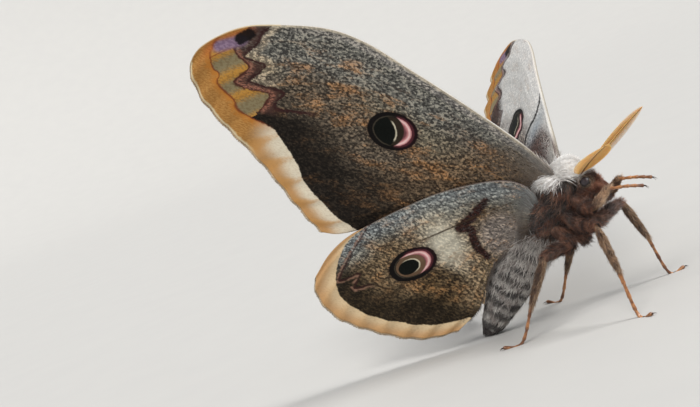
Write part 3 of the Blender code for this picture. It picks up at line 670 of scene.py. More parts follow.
def grow(name, root, normal, flow, length, width, lift, colour, patch, sections=2, bend=0.55, sway=0.12,
         thin=0.45, sink=0.15, dark_root=0.55, slot="fur_brown", material=COAT):
    """A coat piece: each tuft is a closed, tapered three-sided blade that lies along the flow, with painted
    shade towards its root.
    """
    n = len(root)
    length, width, lift, dark_root = (np.broadcast_to(v, n) for v in (length, width, lift, dark_root))
    across = unit(np.cross(flow, normal))
    drift = rng.normal(0, sway, n)
    rings, shades, offsets = [], [], []
    for k in range(sections + 1):
        s = k / sections
        centre = (root - normal * sink * (k == 0) + flow * (length * s)[:, None]
                  + normal * (lift * length * (s - bend * s * s))[:, None]
                  + across * (drift * length * s * s)[:, None])
        # Painted shade: each tuft goes from a little above its own colour at the tip to its darkest at the
        # root, where the hairs crowd
        shade = dark_root + (1.08 - dark_root) * min(s * 1.4, 1.0)
        if k < sections:
            w = (width * (1.0 - 0.4 * s))[:, None]
            for side_way, up_way in ((1, 0), (-1, 0), (0, 1)):
                rings.append(centre + across * w * side_way + normal * w * up_way * thin)
                shades.append(shade)
                offsets.append((0.0012 * (side_way + 0.5 * up_way), 0.0024 * (s - 0.5)))
        else:
            rings.append(centre)
            shades.append(shade)
            offsets.append((0.0, 0.0012))
    size = len(rings)
    points = np.stack(rings, 1).reshape(-1, 3)
    z = points[:, 2]
    points[:, 2] = np.where(z < FLOOR_GAP, FLOOR_GAP * np.exp(np.minimum(z, FLOOR_GAP) - FLOOR_GAP), z)
    pattern = [(0, 2, 1)]
    for k in range(sections - 1):
        a, b = 3 * k, 3 * k + 3
        for i, j in ((0, 1), (1, 2), (2, 0)):
            pattern += [(a + i, a + j, b + j), (a + i, b + j, b + i)]
    last, tip = 3 * (sections - 1), size - 1
    pattern += [(last, last + 1, tip), (last + 1, last + 2, tip), (last + 2, last, tip)]
    pattern = np.array(pattern)
    faces = (np.arange(n)[:, None, None] * size + pattern).reshape(-1, 3)
    one = points[:size]
    if (outward(one - one.mean(0), pattern) != pattern).any():
        faces = faces[:, ::-1]
    made = make_mesh(name, points, faces, material, slot)
    tint = (colour[:, None, :] * np.stack(shades, 1)[:, :, None]).reshape(-1, 3)
    set_attribute(made, "coat", np.clip(tint, 0, 1))
    uv = np.clip(patch, 0.002, 0.998)[:, None, :] + np.array(offsets)[None]
    loops = uv.reshape(-1, 2)[faces.ravel()]
    made.data.uv_layers.new(name="OFBake").data.foreach_set("uv", loops.astype(np.float32).ravel())
    return made


coat_roots = []


def remember(points, colours):
    coat_roots.append((points, colours))


def vary(colour, spread):
    """Colours of single tufts, each a little lighter or darker than its place."""
    return np.clip(colour * (1 + rng.normal(0, spread, (len(colour), 1))), 0, 1)


def merged(parts):
    return [np.concatenate(arrays) for arrays in zip(*parts)]


# Wings

def wing_patch(costa, rear, outer):
    front, back, edge = curve(costa), curve(rear), curve(outer)
    a, b, c, d = front(0.0), back(0.0), front(1.0), back(1.0)

    def at(u, v):
        uu, vv = u[..., None], v[..., None]
        across = (1 - vv) * (a + (b - a) * uu) + vv * edge(u)
        along = (1 - uu) * front(v) + uu * back(v)
        corners = (1 - uu) * (1 - vv) * a + uu * (1 - vv) * b + (1 - uu) * vv * c + uu * vv * d
        return across + along - corners

    return at


def camber(x):
    return WING_CAMBER * np.sin(math.pi * np.clip(x / WING_SPAN, 0, 1) ** 0.8)


def spot_place(points, spot, kind):
    """Places in an eyespot: 1 at its rim, with x towards its lit side, and its kind as the third number."""
    axis = unit(np.array(spot["axis"], float))
    beside = np.array([-axis[1], axis[0]])
    away = points - np.array(spot["centre"])
    ellipse = np.stack([away @ axis / spot["size"][0], away @ beside / spot["size"][1]], 1)
    light = unit(np.array(spot["light"], float))
    light = unit(np.array([light @ axis, light @ beside]))
    across = np.array([-light[1], light[0]])
    return np.stack([ellipse @ light, ellipse @ across, np.full(len(points), kind)], 1)


FAR = [(120.0, 80.0), (120.0, -60.0)]


def fore_fields(p, upper):
    """What the forewing's markings need at places p of its plane, on its upper or under side."""
    x, y = p[:, 0], p[:, 1]
    inner_line = dense(FORE_INNER + (UPPER_MEDIAN[1:] if upper else []), 260)
    behind = [(20, 26), (20, 80)] if upper else [(40, 3.1), (30, 80)]
    inner = signed(p, inner_line, behind + FAR + [(54.5, -60)])
    second = signed(p, dense(FORE_SECOND, 160), [(55.4, 7.0), (56, 80)] + FAR + [(59.5, -60)])
    border_line = dense(FORE_THIRD + FORE_BORDER, 260)
    border = signed(p, border_line, [(20.0, 26.0), (20.0, 80.0)] + FAR + [(64.5, -60.0)])
    edge = distance(p, dense(FORE_OUTER, 160))
    costa = distance(p, dense(FORE_COSTA, 160))
    ratio = np.clip(border, 0, None) / np.maximum(np.clip(border, 0, None) + edge, 1e-6)
    apex = ease(x - 0.35 * y, 46.5, 52.5)
    near_border = -border
    soft = 6 * (ripple(p, 9.0, 3) - 0.5)
    if upper:
        col = np.tile(rgb(112, 103, 97), (len(p), 1))
        col = layer(col, rgb(206, 206, 204), ease(-y + 0.28 * x + soft * 0.4, 3.0, 9.0) * 0.9)
        col = layer(col, rgb(222, 221, 219), ease(costa, 7.0, 1.0) * ease(x, 66, 50))
        # Painted shadow: a grey-blue band of shade on the upper side, near the base and the antemedian line
        col = layer(col, rgb(150, 160, 168), np.exp(-((x - 15.5) ** 2 / 9 + (y + 1.5) ** 2 / 30)) * 0.8)
        root = ease(x + 0.5 * np.abs(y - 3), 19.0, 13.0) * ease(y, -4.5, -2.0)
        col = layer(col, rgb(70, 46, 40), root * 0.9)
        col = layer(col, rgb(140, 118, 104), ease(inner, 0.2, 1.2) * 0.6)
        col = layer(col, rgb(52, 38, 34), ease(near_border, 8.5, 4.0) * ease(x, 60, 52))
        speck = np.full(len(p), 0.8)
        mark = distance(p, dense(UPPER_ANTEMEDIAN, 80)) - 0.4
        drawn = ease(x, 24, 27)
        fill = ((inner > 0) & (inner < 1.4)).astype(float) * 0.75
        tan = ease(x, 18, 30) * 0.35
    else:
        col = np.tile(rgb(90, 81, 70), (len(p), 1))
        col = layer(col, rgb(108, 108, 103), ease(costa + soft * 0.3, 12.0, 5.0) * 0.9)
        col = layer(col, rgb(114, 108, 92), ease(np.abs(costa - 9.5), 4.0, 1.0) * ease(x, 40, 30) * 0.5)
        col = layer(col, rgb(82, 69, 56), ease(x, 24, 8) * ease(costa, 2.5, 5.0) * 0.8)
        col = layer(col, rgb(102, 82, 61), ease(y - 0.55 * x, -9, -4) * ease(x, 40, 20) * 0.5)
        away_spot = np.hypot((x - 29) / 9.5, (y - 1.5) / 7.5)
        lower = ease(y + 0.16 * x + soft * 0.35, 8.0, 13.0)
        outer = ease(near_border + soft * 0.5, 15.0, 4.0) * ease(y, 2.0, 6.0)
        dark = np.maximum(outer, lower * ease(x, 16, 30) * 0.85)
        dark = dark * ease(away_spot, 0.8, 1.6) * (near_border > -3)
        col = layer(col, rgb(24, 20, 17), dark * 0.93)
        col = layer(col, rgb(178, 164, 142), ease(np.abs(inner + 1.0), 1.0, 0.2) * ease(x, 51, 54) * 0.55)
        rear = ease(distance(p, dense(FORE_REAR, 60)), 1.7, 0.5) * ease(x, 5, 9) * ease(x, 28, 22)
        col = layer(col, rgb(158, 112, 70), rear * 0.6)
        col = layer(col, rgb(150, 136, 112), ease(np.abs(y + 3.6), 2.2, 0.3) * ease(x, 50, 56) * 0.6)
        col = layer(col, rgb(132, 129, 125), ease(costa, 2.0, 1.0) * ease(x, 58, 40))
        col = layer(col, rgb(196, 186, 166), ease(costa, 0.6, 0.2) * ease(x, -2, 8) * 0.8)
        speck = 1.0 - 0.3 * dark
        mark = np.full(len(p), 9.0)
        drawn = ease(x, 42, 46)
        fill = ease(x, 50, 52) * ease(y, 6.0, 4.5) * 0.9
        tan = ease(x, 4, 12) * (1 - 0.8 * dark) * ease(costa, 2.0, 5.0)
    lilac = np.exp(-(distance(p, np.array([(64.6, -4.9), (60.6, -7.3)])) / 1.25) ** 2)
    orange = np.exp(-((costa - 1.1) / 0.9) ** 2) * ease(x, 58.0, 61.0) * ease(x, 68.0, 65.5)
    black = distance(p, np.array([(60.9, -7.4), (59.4, -8.8)])) - 1.0
    return {"ground": col, "inner": inner, "second": second, "border": border, "ratio": ratio, "apex": apex,
            "mark": np.minimum(mark, black), "drawn": drawn * (1 - lilac), "fill": fill * (1 - lilac),
            "tan": tan, "speck": speck * (1 - 0.75 * ease(col.mean(1), 0.12, 0.45)),
            "lilac": ease(lilac, 0.2, 0.7), "orange": orange * ease(lilac, 0.8, 0.3),
            "margin": np.minimum(costa + 0.1, edge) + 9 * (x < 54), "thread": np.full(len(p), 9.0),
            "spot": spot_place(p, FORE_SPOT, 0.0)}


def hind_fields(p, upper):
    """What the hindwing's markings need at places p of its plane, on its upper or under side."""
    x, y = p[:, 0], p[:, 1]
    inner = signed(p, dense(HIND_ZIGZAG, 160), [(20, 80)] + FAR + [(27, -60)])
    border = signed(p, dense(HIND_BORDER, 200), [(-30, 36.4), (-30, 90), (120, 90), (120, 21.8)])
    edge = np.minimum(distance(p, dense(HIND_OUTER, 160)), distance(p, dense(HIND_COSTA[5:], 60)))
    costa = distance(p, dense(HIND_COSTA, 160))
    rear = distance(p, dense(HIND_REAR, 100))
    ratio = np.clip(border, 0, None) / np.maximum(np.clip(border, 0, None) + edge, 1e-6)
    near_border = -border
    soft = 5 * (ripple(p, 8.0, 5) - 0.5)
    line = distance(p, dense(HIND_LINE, 80))
    if upper:
        col = np.tile(rgb(112, 98, 90), (len(p), 1))
        col = layer(col, rgb(160, 152, 146), ease(np.hypot(x - 19, y - 22), 13, 4) * 0.7)
        col = layer(col, rgb(74, 50, 44), ease(np.hypot(x, y - 10), 14, 6) * 0.9)
        mark = distance(p, dense(UPPER_HIND_MARK, 60)) - 0.35
        tan = np.full(len(p), 0.15)
    else:
        col = np.tile(rgb(104, 89, 69), (len(p), 1))
        col = layer(col, rgb(112, 112, 106), ease(costa + soft * 0.3, 7.0, 2.8))
        col = layer(col, rgb(120, 126, 128), ease(costa + soft * 0.15, 4.2, 1.2) * 0.9)
        along, beside = (x + y - 33.0) * 0.7, (x - y + 7.0) * 0.7
        pale = np.exp(-(along ** 2 / 12 + beside ** 2 / 30))
        col = layer(col, rgb(196, 191, 174), np.clip(pale * 1.3, 0, 1) * 0.9)
        col = layer(col, rgb(132, 124, 118), ease(np.hypot(x - 3.5, y - 14.5), 6.0, 2.5) * 0.85)
        brown = np.hypot((x - 10.5) / 8.0, (y - 29.0) / 5.5) + soft * 0.04
        col = layer(col, rgb(72, 58, 40), ease(brown, 1.15, 0.55) * 0.9)
        col = layer(col, rgb(128, 112, 90), ease(rear, 6.0, 2.0) * ease(y, 18, 24) * 0.6)
        places, ends = np.linspace(0, 1, 90), np.linspace(0, 1, len(HIND_MARK_SIZES))
        mark = distance(p, dense(HIND_MARK, 90), np.interp(places, ends, HIND_MARK_SIZES))
        tan = np.full(len(p), 0.6)
    dark = ease(near_border + soft * 0.6, 9.5, 3.0) * ease(y, 28.5, 33.0)
    col = layer(col, rgb(36, 29, 20), dark * 0.93)
    speck = (1.0 - 0.3 * dark) * (1 - 0.75 * ease(col.mean(1), 0.12, 0.45))
    none = np.zeros(len(p))
    return {"ground": col, "inner": inner, "second": np.full(len(p), -9.0), "border": border, "ratio": ratio,
            "lilac": none, "orange": none, "margin": none + 9, "thread": line,
            "apex": none, "mark": mark, "drawn": ease(x, 22.5, 25.0) * 0.8,
            "fill": ((inner > 0.05) & (inner < 0.4)).astype(float) * ease(x, 23, 25) * 0.7,
            "tan": tan * (1 - dark), "speck": speck, "spot": spot_place(p, HIND_SPOT, 1.0)}


WINGS = {
    "forewing": {"curves": (FORE_COSTA, FORE_REAR, FORE_OUTER), "veins": FORE_VEINS, "fields": fore_fields,
                 "offset": 0.0, "grid": (96, 180), "wave": 0.34, "slot": "wing_grey"},
    "hindwing": {"curves": (HIND_COSTA, HIND_REAR, HIND_OUTER), "veins": HIND_VEINS, "fields": hind_fields,
                 "offset": -HIND_OFFSET, "grid": (96, 112), "wave": 0.15, "slot": "wing_brown"},
}


class Wing:
    """One wing: its plane, its bowed membrane and its place on the body."""

    def __init__(self, kind, side):
        self.name = f"{kind}_{side}"
        self.kind, self.side = kind, side
        self.sign = 1 if side == "left" else -1
        self.spec = WINGS[kind]
        self.patch = wing_patch(*self.spec["curves"])
        self.axes = wing_axes(side, self.sign)
        turn = math.radians(-WING_POSES[side]["hind_turn"] if kind == "hindwing" else 0.0)
        self.turn = np.array([[math.cos(turn), -math.sin(turn)], [math.sin(turn), math.cos(turn)]])
        self.outer = dense(self.spec["curves"][2], 160)

    def vein_distance(self, u, v, wide):
        best = np.full(u.shape, 9.0)
        for place, start in self.spec["veins"]:
            away = np.abs(u - place) * wide + np.maximum(start - v, 0) * 40
            best = np.minimum(best, away)
        return best

    def height(self, u, v, p, vein, placed):
        """Mid height of the membrane: its bow, pleats between the veins and a wavy margin."""
        edge = distance(p, self.outer)
        wave = self.spec["wave"] * np.exp(-edge / 5.0) * np.sin(u * 2 * math.pi * 8.5 + 0.8)
        pleat = 0.10 * np.cos(np.clip(vein, 0, 1.6) / 1.6 * math.pi) * ease(v, 0.05, 0.3)
        return camber(placed[:, 0]) + self.spec["offset"] + wave - pleat

    def surface(self, u, v):
        """Points of the plane, placed points, mid height and half thickness."""
        p = self.patch(u, v)
        wide = np.linalg.norm(self.patch(np.ones_like(v), v) - self.patch(np.zeros_like(v), v), axis=1)
        vein = self.vein_distance(u, v, wide)
        placed = (p - np.array(HIND_PIVOT)) @ self.turn.T + np.array(HIND_PIVOT)
        mid = self.height(u, v, p, vein, placed)
        taper = ease(distance(p, self.outer), 0.0, 3.0)
        half = 0.05 + 0.09 * taper + 0.12 * np.clip(1 - vein / 0.32, 0, 1) ** 0.7 * taper * (1.15 - 0.6 * v)
        half = half + 0.22 * np.clip(1 - u * wide / 0.9, 0, 1) ** 0.5 * (1 - 0.75 * v)
        half = np.minimum(half + 0.1 * (1 - ease(v, 0.0, 0.2)), 0.5)
        return p, placed, mid, half, vein

    def world(self, placed, z):
        local = np.stack([placed[:, 0] * self.sign, placed[:, 1], z], 1)
        return moved(self.axes, local)

    def build(self):
        cols, rows = self.spec["grid"]
        u = (1 - np.cos(np.linspace(0, math.pi, cols))) / 2 * 0.35 + np.linspace(0, 1, cols) * 0.65
        v = np.linspace(0, 1, rows)
        uu, vv = (g.ravel() for g in np.meshgrid(u, v))
        p, placed, mid, half, vein = self.surface(uu, vv)
        points = np.vstack([self.world(placed, mid + half), self.world(placed, mid - half)])
        index = np.arange(rows * cols).reshape(rows, cols)
        corners = (index[:-1, :-1], index[:-1, 1:], index[1:, 1:], index[1:, :-1])
        top = np.stack([corner.ravel() for corner in corners], 1)
        low = rows * cols
        rim = np.concatenate([index[0, :-1], index[:-1, -1], index[-1, :0:-1], index[:0:-1, 0]])
        after = np.roll(rim, -1)
        sides = np.stack([after, rim, rim + low, after + low], 1)
        faces = outward(points, np.vstack([top, top[:, ::-1] + low, sides]))
        made = make_mesh(self.name + "_membrane", points, faces, WING, self.spec["slot"], [self.name])
        above, below = self.spec["fields"](p, True), self.spec["fields"](p, False)
        for key in above:
            set_attribute(made, key, np.concatenate([above[key], below[key]]))
        set_attribute(made, "vein", np.concatenate([vein, vein]))
        plane = [np.column_stack([p, np.full(len(p), level)]) for level in (0.0, 40.0)]
        set_attribute(made, "plane", np.vstack(plane))

    def tufts_at(self, u, v, over, ahead=0.0):
        """Roots on one face, with normal and the way out along the span, and the colours a little ahead."""
        p, placed, mid, half, vein = self.surface(u, v)
        step = 1e-3
        _, placed_v, mid_v, half_v, _ = self.surface(u, np.clip(v + step, 0, 1))
        _, placed_u, mid_u, half_u, _ = self.surface(np.clip(u + step, 0, 1), v)
        way = 1 if over else -1
        here = self.world(placed, mid + way * half)
        out = unit(self.world(placed_v, mid_v + way * half_v) - here)
        beside = unit(self.world(placed_u, mid_u + way * half_u) - here)
        up = turned(self.axes, np.array([0.0, 0.0, float(way)]))
        normal = unit(np.cross(out, beside))
        normal *= np.sign((normal * up).sum(-1, keepdims=True))
        fields = self.spec["fields"](self.patch(u, np.clip(v + ahead, 0, 1)), over)
        return here, normal, out, beside, fields


wings = [Wing(kind, side) for kind in ("forewing", "hindwing") for side in ("right", "left")]
for wing in wings:
    wing.build()


def border_colour(fields):
    """The colour of the pale border at its very edge."""
    return layer(rgb(222, 200, 164), rgb(204, 168, 118), 0.2 + 0.6 * fields["apex"])


def wing_fringe(wing):
    """Scales that stand out from the outer edge."""
    count = 2600 if wing.kind == "forewing" else 1700
    u = np.sort(rng.uniform(0.0, 1.0, count))
    here, normal, out, beside, fields = wing.tufts_at(u, np.full(count, 0.997), True)
    flow = unit(out + beside * rng.normal(0, 0.12, (count, 1)))
    patch = np.stack([u, 0.9 + 0.05 * rng.uniform(size=count)], 1)
    length = rng.uniform(0.4, 0.75, count)
    grow(f"{wing.name}_fringe", here - normal * 0.05, normal, flow, length, 0.1, 0.02,
         vary(border_colour(fields), 0.1), patch, sway=0.05, thin=0.3, dark_root=0.95, sink=0.0,
         slot=wing.spec["slot"])


def wing_hair(wing):
    """Hair at the base of the wing on both faces, longer towards the body."""
    fore = wing.kind == "forewing"
    count, span = (4000, 66.0) if fore else (3600, 36.0)
    parts = []
    for over in (True, False):
        reach = 0.42 if fore else (0.62 if over else 0.5)
        v = rng.beta(1.0, 3.2, count) * reach
        u = rng.uniform(0.015, 0.985, count)
        base = ease(v, 0.12, 0.0)
        length = (0.8 + 2.2 * base) * rng.uniform(0.6, 1.3, count)
        here, normal, out, beside, fields = wing.tufts_at(u, v, over, 0.6 * length / span)
        colour = fields["ground"]
        if over:
            colour = layer(colour, rgb(214, 210, 204), ease(u, 0.5, 0.15) * ease(v, 0.35, 0.1) * fore)
            colour = layer(colour, rgb(96, 70, 60), base * ease(u, 0.35, 0.7))
        else:
            colour = layer(colour, rgb(140, 112, 86), 0.3 * rng.uniform(size=count) * base)
            colour = layer(colour, rgb(56, 40, 34), base * ease(u, 0.3, 0.8) * 0.7)
        colour = layer(colour, rgb(40, 22, 22), ease(fields["mark"], 0.25, -0.1))
        flow = unit(out + beside * rng.normal(0, 0.14, (count, 1)))
        patch = np.stack([u, 0.45 * v + (0.5 if over else 0.0)], 1)
        parts.append((here, normal, flow, length, vary(colour, 0.25), patch))
    here, normal, flow, length, colour, patch = merged(parts)
    grow(f"{wing.name}_hair", here, normal, flow, length, 0.055, 0.12, colour, patch, bend=0.75, sink=0.05,
         dark_root=0.75, slot=wing.spec["slot"])


def inner_hair(wing):
    """Long hair along the inner margin of a hindwing."""
    count = 2400
    v = rng.uniform(0.02, 0.86, count)
    u = 0.985 - rng.exponential(0.03, count)
    here, normal, out, beside, fields = wing.tufts_at(u, v, True)
    flow = unit(beside * 0.7 + out * 0.8 + normal * rng.normal(0, 0.12, (count, 1)))
    colour = layer(fields["ground"], rgb(158, 138, 120), 0.6 * rng.uniform(size=count))
    length = rng.uniform(0.9, 2.3, count) * (1 - 0.5 * v)
    grow(f"{wing.name}_inner_hair", here, normal, flow, length, 0.06, 0.05, vary(colour, 0.2),
         np.stack([u, v], 1), sway=0.15, slot=wing.spec["slot"])


for wing in wings:
    wing_fringe(wing)
    wing_hair(wing)
    if wing.kind == "hindwing":
        inner_hair(wing)


# Body

def thorax_form():
    y, z, wide, high = (np.array(c) for c in zip(*THORAX_STATIONS))
    path = np.stack([np.zeros_like(y), y, z], 1)
    return tube(path, wide - 0.25, high - 0.25, rows=60, columns=64, axes=body_axes)


def ellipsoid_form(centre, size):
    """An ellipsoid on the body, with its poles to the front and the tail."""
    rows = 40
    a = np.linspace(0.06, math.pi - 0.06, rows)
    line = np.array(centre) + np.stack([np.zeros(rows), -np.cos(a) * size[1], np.zeros(rows)], 1)
    across, upward = (np.tile(way, (rows, 1)) for way in ((1.0, 0.0, 0.0), (0.0, 0.0, 1.0)))
    form = Form(line, across, upward, size[0] * np.sin(a), size[2] * np.sin(a), 48, body_axes)
    out = form.grid - moved(body_axes, np.array([centre], float))[0]
    form.normal = form.normal * np.sign((form.normal * out).sum(-1, keepdims=True))
    return form


def leg_points(leg, sign):
    coxa = moved(body_axes, np.array([mirrored(p, sign) for p in leg["coxa"]], float))
    below = np.array([THORAX_CENTRE[0], THORAX_CENTRE[1], 0.0])
    joints = np.array([mirrored(p, sign) for p in leg["joints"]], float) + below
    return np.vstack([coxa, joints])


def thorax_colour(local):
    """Colours of the thorax, and how white each place is."""
    x, y, z = local.T
    angle = np.arctan2(z + 0.3, np.abs(x))
    patches = ripple(local, 2.6, 9)
    col = layer(rgb(40, 27, 22), rgb(136, 84, 60), ease(patches, 0.5, 0.85) * 0.8)
    col = layer(col, rgb(168, 124, 98), ease(ripple(local, 1.8, 17), 0.72, 0.95) * 0.7)
    col = layer(col, rgb(88, 64, 52), ease(angle, 0.5, 1.0) * ease(y, -2.0, 2.0) * 0.6)
    edge = 0.42 + 0.33 * (y + 3.0) + 0.3 * (ripple(local, 3.0, 4) - 0.5)
    white = ease(angle, edge, edge + 0.25) * ease(y + ripple(local, 2.5, 6) - 0.5, -1.6, -3.2)
    return layer(col, rgb(250, 248, 245), white), white


def abdomen_colour(local, t):
    """Colours of the abdomen: pale, with dark rings that are partly its own banding and partly painted shade
    in the folds between segments.
    """
    x, y, z = local.T
    angle = np.arctan2(z - np.interp(y, [7, 31], [-0.2, -2.2]), np.abs(x))
    patches = ripple(local, 2.0, 12)
    phase = (t * 9.0 + 0.25 * (ripple(local, 3.5, 41) - 0.5)) % 1.0
    col = layer(rgb(212, 208, 203), rgb(146, 132, 126), ease(patches, 0.4, 0.9) * 0.7)
    # Dark rings: partly the abdomen's own banding, partly painted shade in the folds between segments
    ring = ease(np.abs(phase - 0.5), 0.17, 0.31)
    col = layer(col, rgb(38, 30, 29), ring * (0.98 - 0.2 * patches))
    col = layer(col, rgb(88, 68, 60), ease(angle, 0.6, 1.2) * 0.6)
    col = layer(col, rgb(40, 26, 24), ease(t + 0.06 * (patches - 0.5), 0.86, 0.95))
    return layer(col, rgb(56, 40, 34), ease(t, 0.16, 0.04) * 0.85)


def face_colour(local, from_eye):
    """Colours of the head, redder below and white at the nape, and how white each place is."""
    z = local[:, 2]
    patches = ripple(local, 1.6, 21)
    col = layer(rgb(84, 60, 50), rgb(140, 86, 64), ease(z, -4.2, -6.0))
    col = layer(col, rgb(170, 122, 96), ease(patches, 0.45, 0.9) * 0.6)
    col = layer(col, rgb(46, 31, 27), ease(ripple(local, 1.1, 23), 0.55, 0.9) * 0.7)
    col = layer(col, rgb(190, 164, 138), ease(from_eye, 0.5, 0.15) * 0.4)
    white = ease(z + 0.8 * (patches - 0.5), -3.4, -2.7)
    return layer(col, rgb(248, 245, 240), white), white


def wind(s, amount):
    """The lie of the coat with a little disorder among the tufts."""
    across = np.cross(s["flow"], s["normal"])
    return unit(s["flow"] + across * rng.normal(0, amount, (len(across), 1)))


def over_the_neck(s, start, towards):
    """Lays the tufts in front of a place along the body down towards a point before the neck."""
    aim = unit(moved(body_axes, np.array([towards]))[0] - s["point"])
    flow = unit(aim - s["normal"] * (aim * s["normal"]).sum(-1, keepdims=True))
    s["flow"] = np.where((s["local"][:, 1] < start)[:, None], flow, s["flow"])


def kept(s, keep):
    return {key: value[keep] for key, value in s.items()}


def lay(name, s, disorder, length, width, lift, colour, spread, band, **more):
    """Grows a coat on scattered places: its lift is a range, its length ready or a range and a factor."""
    flow = wind(s, disorder)
    if isinstance(length, tuple):
        low, high, factor = length
        length = rng.uniform(low, high, len(flow)) * factor
    start, size = band
    patch = np.stack([s["round"], start + s["t"] * size], 1)
    grow(name, s["point"], s["normal"], flow, length, width, rng.uniform(*lift, len(flow)),
         vary(colour, spread), patch, **more)


def thorax_coat():
    """Dark fur all round the thorax, white in front, and the longer, softer tufts of the collar."""
    s = thorax.scatter(14500)
    over_the_neck(s, -5.0, BEFORE_NECK)
    colour, white = thorax_colour(s["local"])
    remember(s["point"], colour)
    length = rng.uniform(1.3, 3.1, len(colour)) * (1 + 0.15 * white)
    lay("thorax_coat", s, 0.32, length, 0.07, (0.2, 0.7), colour, 0.26, THORAX_BAND, bend=0.6, sway=0.22,
        dark_root=0.4 + 0.45 * white)

    def collar_odds(form):
        x, y, z = (form.local[..., k] for k in range(3))
        return ease(np.arctan2(z + 0.3, np.abs(x)), -0.6, 0.2) * ease(y, -0.4, -2.6) + 1e-4

    s = thorax.scatter(10500, collar_odds)
    over_the_neck(s, -4.7, BEFORE_NECK)
    colour, white = thorax_colour(s["local"])
    keep = white > rng.uniform(0.2, 0.6, len(white))
    lay("collar_coat", kept(s, keep), 0.3, (2.2, 4.0, 1.0), 0.06, (0.2, 0.5), colour[keep], 0.03, THORAX_BAND,
        sections=3, bend=0.6, sway=0.2, dark_root=0.95)


def abdomen_coat():
    """The abdomen's coat in rings, with long pale hairs near the waist and along the sides."""
    s = abdomen.scatter(15000)
    colour = abdomen_colour(s["local"], s["t"])
    remember(s["point"], colour)
    lay("abdomen_coat", s, 0.2, (0.9, 1.8, 1.1 - 0.4 * s["t"]), 0.075, (0.12, 0.42), colour, 0.22,
        ABDOMEN_BAND, bend=0.6, slot="abdomen_grey")
    s = abdomen.scatter(2200, lambda form: np.exp(-np.linspace(0, 5, form.rows))[:, None] + 0.05)
    pale = 0.7 * ease(s["t"], 0.9, 0.5)
    colour = layer(abdomen_colour(s["local"], s["t"]), rgb(206, 200, 194), pale)
    lay("abdomen_long_hair", s, 0.35, (2.2, 4.2, 1 - 0.45 * s["t"]), 0.05, (0.2, 0.6), colour, 0.15,
        ABDOMEN_BAND, sections=3, sway=0.22, slot="abdomen_grey")


def head_coat():
    """Grey-brown above, redder below, white at the nape, brushed to the front and down."""
    s = head.scatter(11500)
    from_eye = np.min(np.linalg.norm(s["local"][:, None] - eyes[None], axis=2), axis=1) - EYE_RADIUS
    keep = from_eye > 0.05
    s, from_eye = kept(s, keep), from_eye[keep]
    colour, white = face_colour(s["local"], from_eye)
    remember(s["point"], colour)
    over_the_neck(s, -5.2, BEFORE_FACE)
    length = np.clip(0.5 + 0.9 * from_eye, 0.4, 1.6) * rng.uniform(0.6, 1.4, len(colour)) * (1 + 0.4 * white)
    lay("head_coat", s, 0.35, length, 0.05, (0.25, 0.75), colour, 0.24, HEAD_BAND, sway=0.2,
        dark_root=0.4 + 0.45 * white, slot="face_brown")


def eye_rim_coat():
    """Short pale hairs that lean over the rim of each eye."""
    count = 420
    parts = []
    for centre in eyes:
        out = unit(centre - np.array(HEAD_CENTRE))
        first = unit(np.cross(out, np.array([0.0, 0.0, 1.0])))
        second = np.cross(out, first)
        a = rng.uniform(0, 2 * math.pi, count)
        spoke = first * np.cos(a)[:, None] + second * np.sin(a)[:, None]
        lean = rng.uniform(0.25, 0.55, count)[:, None]
        root = centre + spoke * (EYE_RADIUS * 1.02) * np.sqrt(1 - lean ** 2)
        root = root + out * (EYE_RADIUS * lean - 0.25)
        hair = out * 0.75 - spoke * rng.uniform(-0.15, 0.35, (count, 1))
        hair = unit(hair + np.cross(out, spoke) * rng.normal(0, 0.3, (count, 1)))
        shade = layer(rgb(150, 124, 104), rgb(214, 196, 172), rng.uniform(size=count))
        parts.append((root, spoke, hair, shade, np.stack([a / 7 + 0.05, 0.765 + 0.02 * lean[:, 0]], 1)))
    root, spoke, hair, colour, patch = merged(parts)
    length = rng.uniform(0.35, 0.65, len(root))
    grow("eye_rim_coat", moved(body_axes, root), turned(body_axes, spoke), turned(body_axes, hair), length,
         0.035, 0.05, vary(colour, 0.15), patch, sink=0.0, dark_root=0.6, slot="face_brown")


def palp_coat():
    """Both palps and their short fur."""
    parts = []
    for sign in (1, -1):
        path = [mirrored(p, sign) for p in PALP_PATH]
        palp = tube(path, np.array(PALP_SIZES) - 0.1, rows=24, columns=24, axes=body_axes)
        forms.append(palp)
        s = palp.scatter(1200)
        colour = layer(rgb(122, 76, 60), rgb(176, 126, 100), ripple(s["local"], 1.2, 31) * 0.8)
        remember(s["point"], colour)
        patch = np.stack([0.5 * s["round"] + (0.5 if sign > 0 else 0.0), 0.79 + s["t"] * 0.03], 1)
        parts.append((s["point"], s["normal"], wind(s, 0.2), vary(colour, 0.16), patch))
    point, normal, flow, colour, patch = merged(parts)
    length, lift = (rng.uniform(low, high, len(point)) for low, high in ((0.6, 1.1), (0.3, 0.6)))
    grow("palp_coat", point, normal, flow, length, 0.05, lift, colour, patch, slot="face_brown")


